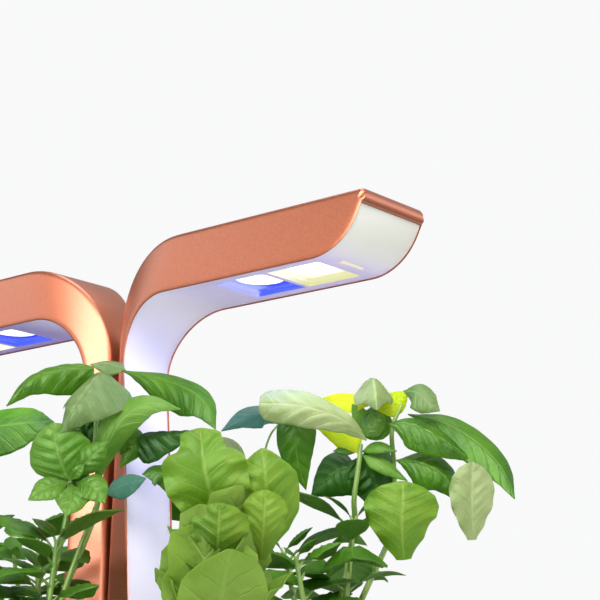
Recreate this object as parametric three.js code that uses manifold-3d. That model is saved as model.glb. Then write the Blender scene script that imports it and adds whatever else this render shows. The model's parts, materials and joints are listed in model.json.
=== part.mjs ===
// Countertop hydroponic garden: a copper-coloured tank with a white deck, six planted pods and two
// swept lamp arms that stand back to back on a lifting mast. Millimetres, +Z up, the origin on the
// table under the middle of the tank. The arms reach along +X and -X, and -Y is the front.
import * as THREE from "three";
import { mergeVertices } from "three/addons/utils/BufferGeometryUtils.js";
import Module from "manifold-3d";

const wasm = await Module();
wasm.setup();

// General
const RUNNING_GAP = 0.3;
const SLIDE_GAP = 0.5;
const CUT_OVERRUN = 2;
const MERGE_DISTANCE = 0.001;
const ROUND_SIDES = 16;
const HALF_TURN = Math.PI;
const QUARTER_TURN = Math.PI / 2;

// Tank and deck
const FOOT_HEIGHT = 3.5;
const FOOT_RADIUS = 9;
const FOOT_STUD_RADIUS = 4;
const FOOT_ALONG_SHARE = 0.78;
const FOOT_ACROSS_SHARE = 0.68;
const TANK_LENGTH = 400;
const TANK_DEPTH = 200;
const TANK_TOP = 79.2;
const TANK_BOTTOM = 3;
const TANK_FLARE = 17;
const TANK_CORNER_RADIUS = 78;
const TANK_CORNER_STEPS = 5;
const TANK_FLARE_LEVELS = 5;
const SHELL_WALL = 2.6;
const BASE_PLATE_THICKNESS = 3;
const LINER_FLOOR_BOTTOM = 17;
const LINER_WALL = 2.2;
const LINER_FLOOR = 2.6;
const LINER_POST_RADIUS = 5;
const DECK_TOP = 78;
const DECK_THICKNESS = 3;

// Well that keeps the mast dry where it passes through the water
const WELL_LENGTH = 52;
const WELL_DEPTH = 26;
const WELL_WALL = 2.2;

// Pods
const POD_FROM_END = 72;
const POD_FROM_SIDE = 50;
const POD_CENTRE_FROM_SIDE = 34;
const POD_TOP_RADIUS = 20.4;
const POD_BOTTOM_RADIUS = 15.5;
const POD_DEPTH = 36;
const POD_WALL = 1.3;
const POD_FLANGE_RADIUS = 24;
const POD_FLANGE = 1.2;
const POD_SLOT_WIDTH = 4;
const POD_SLOT_HEIGHT = 18;
const POD_SLOT_PAIR_COUNT = 2;
const POD_SIDES = 14;
const SOCKET_WALL = 1.6;
const SOCKET_DEPTH = 9;
const COLLAR_RADIUS = 26;
const COLLAR_HEIGHT = 5;
const COLLAR_HOLE_RADIUS = 12.5;
const COLLAR_EDGE = 1.4;
const PLUG_CLEARANCE = 0.6;

// Lamp arms: half widths are across the arm, the other sizes lie in its side view
const ARM_UNDERSIDE = 330;
const ARM_THICKNESS = 34;
const ARM_REACH = 215.5;
const ARM_HEAD_HALF_WIDTH = 29;
const LEG_FRONT_HALF_WIDTH = 20;
const LEG_BACK_HALF_WIDTH = 11.5;
const LEG_FRONT_AT_FOOT = 35;
const LEG_FRONT_AT_TOP = 15.3;
const LEG_BACK_AT_FOOT = 0.6;
const LEG_BACK_AT_TOP = 4.9;
const UNDER_BEND_RADIUS = 41;
const OVER_BEND_RADIUS = 66;
const TIP_CURVE_RADIUS = 37.7;
const TIP_CURVE_ANGLE = THREE.MathUtils.degToRad(63.5);
const TIP_FLAT = 7.5;
const NOSE_SLOPE = 1.6;
const ARM_WALL = 2.4;
const ARM_RIM = 1.5;
const ARM_EDGE_CHAMFER = 2.2;
const TIP_LIP = 1.2;
const CAVITY_TIP_SHARE = 0.72;
const PANEL_RECESS = 0.8;
const PANEL_THICKNESS = 2.2;
const BEND_STEPS = 10;
const TIP_STEPS = 6;
const WIDTH_BLEND_START_SHARE = 0.94;
const WIDTH_BLEND_END_SHARE = 2.05;
const STAGE_COUNT = 4;
const STAGE_STEP_SHARE = 0.002;

// Lamp insides
const WINDOW_SIZE = 39;
const WINDOW_RADIUS = 3.5;
const WINDOW_BRIDGE = 3.5;
const LAMP_TO_TIP_CURVE = 1.9;
const PANE_THICKNESS = 0.8;
const PANE_MARGIN = 2.5;
const TRAY_DEPTH = 2.6;
const TRAY_DRAFT = 1;
const TRAY_FLOOR = 1.2;
const COB_RADIUS = 15.2;
const COB_HEIGHT = 1.6;
const BOARD_THICKNESS = 1.6;
const SINK_BASE = 2;
const SINK_FIN = 1.4;
const SINK_FIN_COUNT = 7;
const SENSOR_LENGTH = 21;
const SENSOR_WIDTH = 2.4;
const SENSOR_ARC_SHARE = 0.183;
const WIRE_RADIUS = 1.2;
const WIRE_SIDES = 6;
const WIRE_BEND_COUNT = 4;

// Lifting mast
const LIFT_TRAVEL = 80;
const POST_START = 8;
const POST_THICKNESS = 11;
const POST_WIDTH = 14;
const POST_BORE_RADIUS = 3.6;
const POST_OVERLAP = 36;
const BRACKET_HEIGHT = 14;
const BRACKET_MARGIN = 4;
const MAST_COLLAR_MARGIN = 9;
const MAST_COLLAR_HEIGHT = 2.7;
const LEG_BASE_HEIGHT = 2.9;
const LEG_BASE_MARGIN = 3;
const LEG_PLUG_HEIGHT = 14;
const CORNER_ROUNDING = 8;
const CORNER_STEPS = 3;

// Filling lid, level float and power button
const LID_FROM_END = 27;
const LID_LENGTH = 26;
const LID_WIDTH = 44;
const LID_THICKNESS = 1.5;
const LID_LAP = 3;
const LID_PULL = 5;
const HINGE_SETBACK = 2.4;
const HINGE_KNUCKLE_RADIUS = 1.8;
const HINGE_PIN_RADIUS = 1.1;
const HINGE_PIN_REACH = 2;
const HINGE_SLOT_FRONT = 3.2;
const HINGE_SLOT_BACK = 3.6;
const FLOAT_FROM_END = 27;
const FLOAT_RADIUS = 11;
const FLOAT_HEIGHT = 16;
const FLOAT_STEM_RADIUS = 3;
const FLOAT_TRAVEL = 22;
const FLOAT_RIM = 2;
const FLOAT_CROWN_RADIUS = 5.5;
const FLOAT_CROWN_HEIGHT = 1.6;
const BUTTON_FROM_SIDE = 28;
const BUTTON_RADIUS = 8;
const BUTTON_RAISE = 1.6;
const BUTTON_HEIGHT = 5;
const BUTTON_CUP_DEPTH = 13;
const BUTTON_CUP_WALL = 1.4;
const SPRING_RADIUS = 4.6;
const SPRING_WIRE = 0.5;
const SPRING_CURL_COUNT = 4;
const SPRING_STEPS = 8;
const SPRING_SIDES = 5;

// Pump, control board and power inlet
const PUMP_FROM_WELL = 22;
const PUMP_RADIUS = 20;
const PUMP_HEIGHT = 26;
const PUMP_WALL = 2;
const PUMP_COVER_HEIGHT = 4;
const PUMP_NOZZLE_RADIUS = 4;
const PUMP_NOZZLE_BORE = 2.6;
const PUMP_NOZZLE_HEIGHT = 12;
const PUMP_INLET_COUNT = 8;
const PUMP_INLET_WIDTH = 2.5;
const IMPELLER_RADIUS = 15;
const IMPELLER_HEIGHT = 12;
const IMPELLER_BLADE_COUNT = 6;
const IMPELLER_BLADE = 1.4;
const IMPELLER_HUB_RADIUS = 4.5;
const IMPELLER_DISC = 1.6;
const SPINDLE_RADIUS = 1.5;
const BOARD_LENGTH = 84;
const BOARD_DEPTH = 40;
const BOARD_PLACE_X = -70;
const BOARD_FROM_REAR = 45;
const STANDOFF_RADIUS = 2.5;
const STANDOFF_HEIGHT = 3;
const JACK_WIDTH = 9.5;
const JACK_HEIGHT = 6.6;
const JACK_LENGTH = 16;
const JACK_HOLE_RADIUS = 2.6;
const JACK_PROUD = 0.6;

// Plants: how high each one stands, and the share of the growing space that it keeps to
const PLANT_FROM_ARM_TIP = 2.5;
const PLANT_OVERHANG = 16;
const PLANT_SPLIT_SHIFT = 30;
const PLANT_FROM_LEG = 6;
const PLANT_GAP = 1.5;
const POD_LIFT = 30;
const BASIL_LEAF = 78;
const BASIL_WIDTH = 46;
const LETTUCE_LEAF = 156;
const LETTUCE_WIDTH = 66;
const LEAF_THICKNESS = 1.6;
const STEM_RADIUS = 2.6;
const STEM_TIP_RADIUS = 1.3;
const STEM_SIDES = 5;
const STEM_SPACING = 3.6;
const LEAF_ROOT_SHARE = 0.25;
const CROWN_RADIUS = 6.5;
const CROWN_HEIGHT = 14;
const LEAF_SHRINK_SHARE = 0.93;
const LEAF_LEAST_SHARE = 0.35;
const PLUG_NECK = 3;

// A rounded outline is walked corner by corner, anticlockwise seen from above.
function roundedOutline(halfX, halfY, radius, steps = CORNER_STEPS) {
  const corners = [[1, -1], [1, 1], [-1, 1], [-1, -1]];
  return corners.flatMap(([sideX, sideY], corner) =>
    Array.from({ length: steps + 1 }, (_, step) => {
      const angle = (corner - 1 + step / steps) * QUARTER_TURN;
      return new THREE.Vector2(
        sideX * (halfX - radius) + radius * Math.cos(angle),
        sideY * (halfY - radius) + radius * Math.sin(angle),
      );
    }),
  );
}

// Solids: every geometry is a closed surface, so it can be joined and cut. A surface that was drawn
// inside out is turned, and triangles that shrink to a line on an axis are left out.
function toSolid(geometry) {
  const bare = new THREE.BufferGeometry();
  bare.setAttribute("position", geometry.getAttribute("position").clone());
  if (geometry.index) {
    bare.setIndex(geometry.index.clone());
  }
  const merged = mergeVertices(bare, MERGE_DISTANCE);
  const positions = merged.attributes.position;
  const corner = (i) => new THREE.Vector3().fromBufferAttribute(positions, i);
  const faces = [];
  let volume = 0;
  for (let i = 0; i < merged.index.count; i += 3) {
    const [a, b, c] = [0, 1, 2].map((k) => merged.index.getX(i + k));
    if (a === b || b === c || c === a) {
      continue;
    }
    faces.push([a, b, c]);
    volume += corner(a).dot(corner(b).cross(corner(c)));
  }
  const outward = volume > 0 ? faces : faces.map(([a, b, c]) => [a, c, b]);
  return new wasm.Manifold(
    new wasm.Mesh({
      numProp: 3,
      vertProperties: positions.array,
      triVerts: new Uint32Array(outward.flat()),
    }),
  );
}

function toGeometry(solid) {
  const mesh = solid.getMesh();
  const positions = new Float32Array(mesh.numVert * 3);
  for (let i = 0; i < mesh.numVert; i++) {
    positions.set(mesh.vertProperties.subarray(i * mesh.numProp, i * mesh.numProp + 3), i * 3);
  }
  const geometry = new THREE.BufferGeometry();
  geometry.setAttribute("position", new THREE.BufferAttribute(positions, 3));
  geometry.setIndex(new THREE.BufferAttribute(new Uint32Array(mesh.triVerts), 1));
  geometry.computeVertexNormals();
  return geometry;
}

const join = (solids) => solids.reduce((whole, piece) => whole.add(piece));
const cut = (solid, tools) => tools.reduce((left, tool) => left.subtract(tool), solid);

// A skin over rings of equally many points, closed by a flat fan at each end.
function loft(rings) {
  const count = rings[0].length;
  const index = [];
  for (let level = 0; level + 1 < rings.length; level++) {
    for (let i = 0; i < count; i++) {
      const here = level * count + i;
      const next = level * count + ((i + 1) % count);
      index.push(here, next, next + count, here, next + count, here + count);
    }
  }
  const last = (rings.length - 1) * count;
  for (let i = 1; i + 1 < count; i++) {
    index.push(0, i + 1, i, last, last + i, last + i + 1);
  }
  const geometry = new THREE.BufferGeometry();
  const numbers = rings.flat().flatMap((point) => [point.x, point.y, point.z]);
  geometry.setAttribute("position", new THREE.Float32BufferAttribute(numbers, 3));
  geometry.setIndex(index);
  return toSolid(geometry);
}

const atHeight = (outline, z) => outline.map((point) => new THREE.Vector3(point.x, point.y, z));

function prism(outline, bottom, top) {
  return loft([atHeight(outline, bottom), atHeight(outline, top)]);
}

function block(centre, size) {
  return toSolid(new THREE.BoxGeometry(size.x, size.y, size.z).translate(centre.x, centre.y, centre.z));
}

function barBetween(low, high) {
  const centre = low.clone().add(high).multiplyScalar(1 / 2);
  return block(centre, high.clone().sub(low));
}

const vector = (x, y, z) => new THREE.Vector3(x, y, z);

function disc(x, y, bottom, top, radius, sides = ROUND_SIDES) {
  const geometry = new THREE.CylinderGeometry(radius, radius, top - bottom, sides);
  return toSolid(geometry.rotateX(QUARTER_TURN).translate(x, y, (bottom + top) / 2));
}

// A pin that lies along Y.
function crossPin(x, z, fromY, toY, radius) {
  const geometry = new THREE.CylinderGeometry(radius, radius, toY - fromY, ROUND_SIDES / 2);
  return toSolid(geometry.translate(x, (fromY + toY) / 2, z));
}

// A profile of [radius, height] pairs turned about Z; a closed one starts and ends off the axis.
function turned(profile, closed = false, sides = ROUND_SIDES) {
  const points = profile.map(([radius, height]) => new THREE.Vector2(radius, height));
  if (closed) {
    points.push(points[0].clone());
  }
  return toSolid(new THREE.LatheGeometry(points, sides).rotateX(QUARTER_TURN));
}

// A rod of changing radius through points, with rings turned square to its run.
function rod(points, radii, sides) {
  const rings = points.map((point, i) => {
    const before = points[Math.max(i - 1, 0)];
    const after = points[Math.min(i + 1, points.length - 1)];
    const along = after.clone().sub(before).normalize();
    const guide = Math.abs(along.y) < Math.SQRT1_2 ? vector(0, 1, 0) : vector(1, 0, 0);
    const side = guide.clone().cross(along).normalize();
    const up = along.clone().cross(side);
    return Array.from({ length: sides }, (_, k) => {
      const angle = (k / sides) * 2 * HALF_TURN;
      const reach = side.clone().multiplyScalar(Math.cos(angle) * radii[i]);
      return reach.addScaledVector(up, Math.sin(angle) * radii[i]).add(point);
    });
  });
  return loft(rings);
}

// Materials
const material = (color, roughness, metalness = 0, extra = {}) =>
  new THREE.MeshStandardMaterial({ color, roughness, metalness, ...extra });
const copperPaint = material(0xb9704f, 0.38, 0.75);
const whitePlastic = material(0xeeeef0, 0.5);
const liner = material(0xd8dadd, 0.55);
const reflectorPlastic = material(0xf4f4f6, 0.3);
const clearPlastic = material(0xf2f6ff, 0.1, 0, { transparent: true, opacity: 0.35 });
const blueEmitter = material(0x2a48ff, 0.3, 0, { emissive: 0x2040ff });
const warmEmitter = material(0xfff6d0, 0.3, 0, { emissive: 0xfff2c0 });
const sensorLens = material(0xefe6d0, 0.4);
const sinkMetal = material(0xa9abad, 0.4, 0.9);
const circuitGreen = material(0x1f5a37, 0.6);
const cableBlack = material(0x202022, 0.6);
const postMetal = material(0xc8c8ca, 0.3, 0.9);
const rubber = material(0x2a2a2c, 0.9);
const darkPlastic = material(0x3a3c40, 0.6);
const springSteel = material(0x8f9194, 0.35, 0.9);
const podPlastic = material(0x6e7378, 0.6);
const basilLeaf = material(0x4f8a2a, 0.6);
const lettuceLeaf = material(0x8fc23a, 0.6);

function part(name, solid, finish) {
  const mesh = new THREE.Mesh(toGeometry(solid), finish);
  mesh.name = name;
  return mesh;
}

// Tank: the outline flares quickly from the bottom and stands upright at the rim.
const TANK_RIM_HEIGHT = TANK_TOP - TANK_BOTTOM;
function tankOutline(z, inset) {
  const rise = THREE.MathUtils.clamp((z - TANK_BOTTOM) / TANK_RIM_HEIGHT, 0, 1);
  const narrowing = TANK_FLARE * (1 - Math.sin(rise * QUARTER_TURN)) + inset;
  return roundedOutline(
    TANK_LENGTH / 2 - narrowing,
    TANK_DEPTH / 2 - narrowing,
    TANK_CORNER_RADIUS - narrowing,
    TANK_CORNER_STEPS,
  );
}

function tankBody(bottom, top, inset, levels = TANK_FLARE_LEVELS) {
  return loft(
    Array.from({ length: levels + 1 }, (_, level) => {
      const z = bottom + ((top - bottom) * level) / levels;
      return atHeight(tankOutline(z, inset), z);
    }),
  );
}

const BASE_PLATE_BOTTOM = FOOT_HEIGHT + RUNNING_GAP;
const BASE_PLATE_TOP = BASE_PLATE_BOTTOM + BASE_PLATE_THICKNESS;
const BOARD_BOTTOM = BASE_PLATE_TOP + STANDOFF_HEIGHT + RUNNING_GAP;
const BOARD_TOP = BOARD_BOTTOM + BOARD_THICKNESS;
const JACK_BOTTOM = BASE_PLATE_TOP + RUNNING_GAP;
const JACK_AXIS = JACK_BOTTOM + JACK_HEIGHT / 2;
const BOARD_PLACE_Y = TANK_DEPTH / 2 - TANK_FLARE - BOARD_FROM_REAR;
const LINER_INSET = SHELL_WALL + SLIDE_GAP;
const LINER_TOP = DECK_TOP - DECK_THICKNESS - RUNNING_GAP;
const WELL_HALF_X = WELL_LENGTH / 2;
const WELL_HALF_Y = WELL_DEPTH / 2;
const wellOutline = roundedOutline(
  WELL_HALF_X - WELL_WALL,
  WELL_HALF_Y - WELL_WALL,
  (CORNER_ROUNDING - WELL_WALL) / 2,
);
const PUMP_PLACE = WELL_HALF_X + PUMP_FROM_WELL + PUMP_RADIUS;
const footX = (TANK_LENGTH / 2 - TANK_FLARE) * FOOT_ALONG_SHARE;
const footY = (TANK_DEPTH / 2 - TANK_FLARE) * FOOT_ACROSS_SHARE;
const footPlaces = [
  ["front_left", -footX, -footY],
  ["front_right", footX, -footY],
  ["rear_left", -footX, footY],
  ["rear_right", footX, footY],
];

// The posts that carry the water tank, as shares of the base plate's half length and half depth.
const linerPostShares = [[-0.8, 0], [0.8, 0], [-0.4, -0.5], [0.4, -0.5], [0.4, 0.5], [-0.78, 0.42]];

// The depth of the outline at a height and an x on its straight side.
function tankSide(z) {
  const rise = THREE.MathUtils.clamp((z - TANK_BOTTOM) / TANK_RIM_HEIGHT, 0, 1);
  return TANK_DEPTH / 2 - TANK_FLARE * (1 - Math.sin(rise * QUARTER_TURN));
}

function outerShell() {
  const outside = tankBody(TANK_BOTTOM, TANK_TOP, 0);
  const inside = tankBody(TANK_BOTTOM - CUT_OVERRUN, TANK_TOP + CUT_OVERRUN, SHELL_WALL);
  const jackHole = barBetween(
    vector(BOARD_PLACE_X - JACK_WIDTH / 2 - SLIDE_GAP, 0, JACK_BOTTOM - SLIDE_GAP),
    vector(
      BOARD_PLACE_X + JACK_WIDTH / 2 + SLIDE_GAP,
      TANK_DEPTH / 2,
      JACK_BOTTOM + JACK_HEIGHT + SLIDE_GAP,
    ),
  );
  return cut(outside, [inside, jackHole]);
}

function basePlate() {
  const inset = SHELL_WALL + SLIDE_GAP;
  const plate = tankBody(BASE_PLATE_BOTTOM, BASE_PLATE_TOP, inset, 1);
  const standoffX = BOARD_LENGTH / 2 - 2 * STANDOFF_RADIUS;
  const standoffY = BOARD_DEPTH / 2 - 2 * STANDOFF_RADIUS;
  const standoffs = [[-1, -1], [1, -1], [-1, 1], [1, 1]].map(([sideX, sideY]) =>
    disc(
      BOARD_PLACE_X + sideX * standoffX,
      BOARD_PLACE_Y + sideY * standoffY,
      BASE_PLATE_BOTTOM,
      BASE_PLATE_TOP + STANDOFF_HEIGHT,
      STANDOFF_RADIUS,
      ROUND_SIDES / 2,
    ),
  );
  const linerPosts = linerPostShares.map(([shareX, shareY]) =>
    disc(
      shareX * (TANK_LENGTH / 2 - TANK_FLARE),
      shareY * (TANK_DEPTH / 2 - TANK_FLARE),
      BASE_PLATE_BOTTOM,
      LINER_FLOOR_BOTTOM - RUNNING_GAP,
      LINER_POST_RADIUS,
      ROUND_SIDES / 2,
    ),
  );
  const studHoles = footPlaces.map(([, x, y]) =>
    disc(x, y, 0, BASE_PLATE_TOP + CUT_OVERRUN, FOOT_STUD_RADIUS + RUNNING_GAP),
  );
  return cut(join([plate, ...standoffs, ...linerPosts]), studHoles);
}

const foot = () =>
  turned([
    [0, 0],
    [FOOT_RADIUS, 0],
    [FOOT_RADIUS, FOOT_HEIGHT],
    [FOOT_STUD_RADIUS, FOOT_HEIGHT],
    [FOOT_STUD_RADIUS, BASE_PLATE_TOP],
    [0, BASE_PLATE_TOP],
  ]);

function waterTank() {
  const outside = tankBody(LINER_FLOOR_BOTTOM, LINER_TOP, LINER_INSET);
  const inside = tankBody(
    LINER_FLOOR_BOTTOM + LINER_FLOOR,
    LINER_TOP + CUT_OVERRUN,
    LINER_INSET + LINER_WALL,
  );
  const wellOutside = prism(
    roundedOutline(WELL_HALF_X, WELL_HALF_Y, CORNER_ROUNDING / 2),
    LINER_FLOOR_BOTTOM,
    LINER_TOP,
  );
  const wellInside = prism(
    wellOutline,
    LINER_FLOOR_BOTTOM - CUT_OVERRUN,
    LINER_TOP + CUT_OVERRUN,
  );
  return cut(join([cut(outside, [inside]), wellOutside]), [wellInside]);
}

// Pods stand in three columns; the middle ones sit further from the mast.
const POD_PITCH = TANK_LENGTH / 2 - POD_FROM_END;
const POD_ROW = TANK_DEPTH / 2 - POD_FROM_SIDE;
const POD_CENTRE_ROW = TANK_DEPTH / 2 - POD_CENTRE_FROM_SIDE;
const podPlaces = [
  { name: "front_left", x: -POD_PITCH, y: -POD_ROW },
  { name: "front_centre", x: 0, y: -POD_CENTRE_ROW },
  { name: "front_right", x: POD_PITCH, y: -POD_ROW },
  { name: "rear_left", x: -POD_PITCH, y: POD_ROW },
  { name: "rear_centre", x: 0, y: POD_CENTRE_ROW },
  { name: "rear_right", x: POD_PITCH, y: POD_ROW },
];
const SOCKET_RADIUS = POD_TOP_RADIUS + SLIDE_GAP;
const CUP_RIM = DECK_TOP + RUNNING_GAP;
const CUP_BOTTOM = DECK_TOP - POD_DEPTH;
const FLANGE_TOP = CUP_RIM + POD_FLANGE;
const COLLAR_BOTTOM = FLANGE_TOP + RUNNING_GAP;
const LID_CENTRE = TANK_LENGTH / 2 - LID_FROM_END;
const FLOAT_CENTRE = FLOAT_FROM_END - TANK_LENGTH / 2;
const BUTTON_PLACE_X = POD_PITCH / 2;
const BUTTON_PLACE_Y = BUTTON_FROM_SIDE - TANK_DEPTH / 2;
const LID_BOTTOM = DECK_TOP + RUNNING_GAP;
const LID_TOP = LID_BOTTOM + LID_THICKNESS;
const LID_START = LID_CENTRE - LID_LENGTH / 2;
const LID_END = LID_CENTRE + LID_LENGTH / 2;
const HINGE_X = LID_START - HINGE_SETBACK;
const HINGE_Z = DECK_TOP - DECK_THICKNESS / 2;
const HINGE_HALF = LID_WIDTH / 4;

function deck() {
  const bottom = DECK_TOP - DECK_THICKNESS;
  const plate = tankBody(bottom, DECK_TOP, SHELL_WALL + SLIDE_GAP, 1);
  const sleeves = podPlaces.map(({ x, y }) =>
    disc(x, y, bottom - SOCKET_DEPTH, DECK_TOP - DECK_THICKNESS / 2, SOCKET_RADIUS + SOCKET_WALL),
  );
  const buttonSleeve = disc(
    BUTTON_PLACE_X,
    BUTTON_PLACE_Y,
    DECK_TOP - BUTTON_CUP_DEPTH,
    DECK_TOP - DECK_THICKNESS / 2,
    BUTTON_RADIUS + SLIDE_GAP + BUTTON_CUP_WALL,
  );
  const floatSleeve = disc(
    FLOAT_CENTRE,
    0,
    bottom - SOCKET_DEPTH,
    DECK_TOP - DECK_THICKNESS / 2,
    FLOAT_STEM_RADIUS + SLIDE_GAP + SOCKET_WALL,
  );
  const podHoles = podPlaces.map(({ x, y }) =>
    disc(x, y, bottom - SOCKET_DEPTH - CUT_OVERRUN, DECK_TOP + CUT_OVERRUN, SOCKET_RADIUS),
  );
  const mastHole = prism(
    wellOutline,
    bottom - CUT_OVERRUN,
    DECK_TOP + CUT_OVERRUN,
  );
  const lidHole = prism(
    roundedOutline(LID_LENGTH / 2 - LID_LAP, LID_WIDTH / 2 - LID_LAP, LID_LAP),
    bottom - CUT_OVERRUN,
    DECK_TOP + CUT_OVERRUN,
  ).translate([LID_CENTRE, 0, 0]);
  const hingeSlot = barBetween(
    vector(HINGE_X - HINGE_SLOT_BACK, -HINGE_HALF - SLIDE_GAP, bottom - CUT_OVERRUN),
    vector(HINGE_X + HINGE_SLOT_FRONT, HINGE_HALF + SLIDE_GAP, DECK_TOP + CUT_OVERRUN),
  );
  const buttonHole = disc(
    BUTTON_PLACE_X,
    BUTTON_PLACE_Y,
    DECK_TOP - BUTTON_CUP_DEPTH + BUTTON_CUP_WALL,
    DECK_TOP + CUT_OVERRUN,
    BUTTON_RADIUS + SLIDE_GAP,
  );
  const floatHole = disc(
    FLOAT_CENTRE,
    0,
    bottom - SOCKET_DEPTH - CUT_OVERRUN,
    DECK_TOP + CUT_OVERRUN,
    FLOAT_STEM_RADIUS + SLIDE_GAP,
  );
  const bored = cut(join([plate, ...sleeves, buttonSleeve, floatSleeve]), [
    ...podHoles,
    mastHole,
    lidHole,
    hingeSlot,
    buttonHole,
    floatHole,
  ]);
  return join([bored, ...[-1, 1].map(hingePin)]);
}

// A pin reaches from each end of the hinge slot into the lid's knuckle.
function hingePin(side) {
  const root = side * (HINGE_HALF + SLIDE_GAP);
  return crossPin(HINGE_X, HINGE_Z, root - HINGE_PIN_REACH, root + HINGE_PIN_REACH, HINGE_PIN_RADIUS);
}

// The lid lies over the filling hole, and its knuckle turns in a slot in the deck beside it.
function fillLid() {
  const plate = prism(
    roundedOutline(LID_LENGTH / 2, LID_WIDTH / 2, LID_LAP),
    LID_BOTTOM,
    LID_TOP,
  ).translate([LID_CENTRE, 0, 0]);
  const knuckle = crossPin(HINGE_X, HINGE_Z, -HINGE_HALF, HINGE_HALF, HINGE_KNUCKLE_RADIUS);
  const reach = HINGE_KNUCKLE_RADIUS * Math.SQRT1_2;
  const tongueSide = (y) => [
    vector(HINGE_X + reach, y, HINGE_Z - reach),
    vector(LID_START + RUNNING_GAP, y, LID_BOTTOM),
    vector(LID_START + RUNNING_GAP, y, LID_TOP),
    vector(HINGE_X - reach, y, HINGE_Z + reach),
  ];
  const pull = barBetween(
    vector(LID_END - LID_LAP, -LID_PULL, LID_TOP - LID_THICKNESS / 2),
    vector(LID_END - LID_LAP / 2, LID_PULL, LID_TOP + LID_THICKNESS),
  );
  const boreEnd = HINGE_HALF + CUT_OVERRUN;
  const bore = crossPin(HINGE_X, HINGE_Z, -boreEnd, boreEnd, HINGE_PIN_RADIUS + RUNNING_GAP / 2);
  const tongue = loft([tongueSide(-HINGE_HALF), tongueSide(HINGE_HALF)]);
  return cut(join([plate, knuckle, tongue, pull]), [bore]);
}

// Pod: a slotted basket, a domed collar over it and a plug that the plant grows in.
const cupRadius = (z) =>
  THREE.MathUtils.mapLinear(z, CUP_BOTTOM, CUP_RIM, POD_BOTTOM_RADIUS, POD_TOP_RADIUS);

function podCup() {
  const cup = turned([
    [0, CUP_BOTTOM],
    [POD_BOTTOM_RADIUS, CUP_BOTTOM],
    [POD_TOP_RADIUS, CUP_RIM],
    [POD_FLANGE_RADIUS, CUP_RIM],
    [POD_FLANGE_RADIUS, FLANGE_TOP],
    [POD_TOP_RADIUS - POD_WALL, FLANGE_TOP],
    [POD_BOTTOM_RADIUS - POD_WALL, CUP_BOTTOM + POD_WALL],
    [0, CUP_BOTTOM + POD_WALL],
  ], false, POD_SIDES);
  const slotLow = CUP_BOTTOM + 2 * POD_WALL;
  const slots = Array.from({ length: POD_SLOT_PAIR_COUNT }, (_, i) =>
    barBetween(
      vector(-POD_TOP_RADIUS, -POD_SLOT_WIDTH / 2, slotLow),
      vector(POD_TOP_RADIUS, POD_SLOT_WIDTH / 2, slotLow + POD_SLOT_HEIGHT),
    ).rotate([0, 0, (180 / POD_SLOT_PAIR_COUNT) * i]),
  );
  return cut(cup, slots);
}

const podCollar = () =>
  turned(
    [
      [COLLAR_HOLE_RADIUS, COLLAR_BOTTOM],
      [COLLAR_RADIUS, COLLAR_BOTTOM],
      [COLLAR_RADIUS, COLLAR_BOTTOM + COLLAR_EDGE],
      [COLLAR_RADIUS - COLLAR_EDGE, COLLAR_BOTTOM + 2 * COLLAR_EDGE],
      [COLLAR_HOLE_RADIUS, COLLAR_BOTTOM + COLLAR_HEIGHT],
    ],
    true,
    POD_SIDES,
  );

// Lamp arm: the side view has an under line and an over line, each a leg, a bend and a head.
const ARM_TOP = ARM_UNDERSIDE + ARM_THICKNESS;
const MAST_COLLAR_BOTTOM = DECK_TOP + RUNNING_GAP;
const LEG_BASE_BOTTOM = MAST_COLLAR_BOTTOM + MAST_COLLAR_HEIGHT + RUNNING_GAP;
const LEG_BASE_TOP = LEG_BASE_BOTTOM + LEG_BASE_HEIGHT;
const ARM_FOOT = LEG_BASE_TOP + RUNNING_GAP;
const TIP_CURVE_START =
  ARM_REACH - TIP_CURVE_RADIUS * Math.sin(TIP_CURVE_ANGLE) - TIP_FLAT * Math.cos(TIP_CURVE_ANGLE);
const flat = (x, z) => new THREE.Vector2(x, z);

// The arc that rounds the corner between two lines, as a function of the share along it.
function roundedCorner(from, corner, to, radius) {
  const toFrom = from.clone().sub(corner).normalize();
  const toTo = to.clone().sub(corner).normalize();
  const halfAngle = Math.acos(toFrom.dot(toTo)) / 2;
  const start = corner.clone().addScaledVector(toFrom, radius / Math.tan(halfAngle));
  const bisector = toFrom.clone().add(toTo).normalize();
  const centre = corner.clone().addScaledVector(bisector, radius / Math.sin(halfAngle));
  const spoke = start.clone().sub(centre);
  const sweep = -(HALF_TURN - 2 * halfAngle);
  return (share) => centre.clone().add(spoke.clone().rotateAround(flat(0, 0), sweep * share));
}

const underCorner = flat(LEG_FRONT_AT_TOP, ARM_UNDERSIDE);
const overCorner = flat(LEG_BACK_AT_TOP, ARM_TOP);
const underFoot = flat(LEG_FRONT_AT_FOOT, ARM_FOOT);
const overFoot = flat(LEG_BACK_AT_FOOT, ARM_FOOT);
const underBend = roundedCorner(underFoot, underCorner, flat(ARM_REACH, ARM_UNDERSIDE), UNDER_BEND_RADIUS);
const overBend = roundedCorner(overFoot, overCorner, flat(ARM_REACH, ARM_TOP), OVER_BEND_RADIUS);

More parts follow.
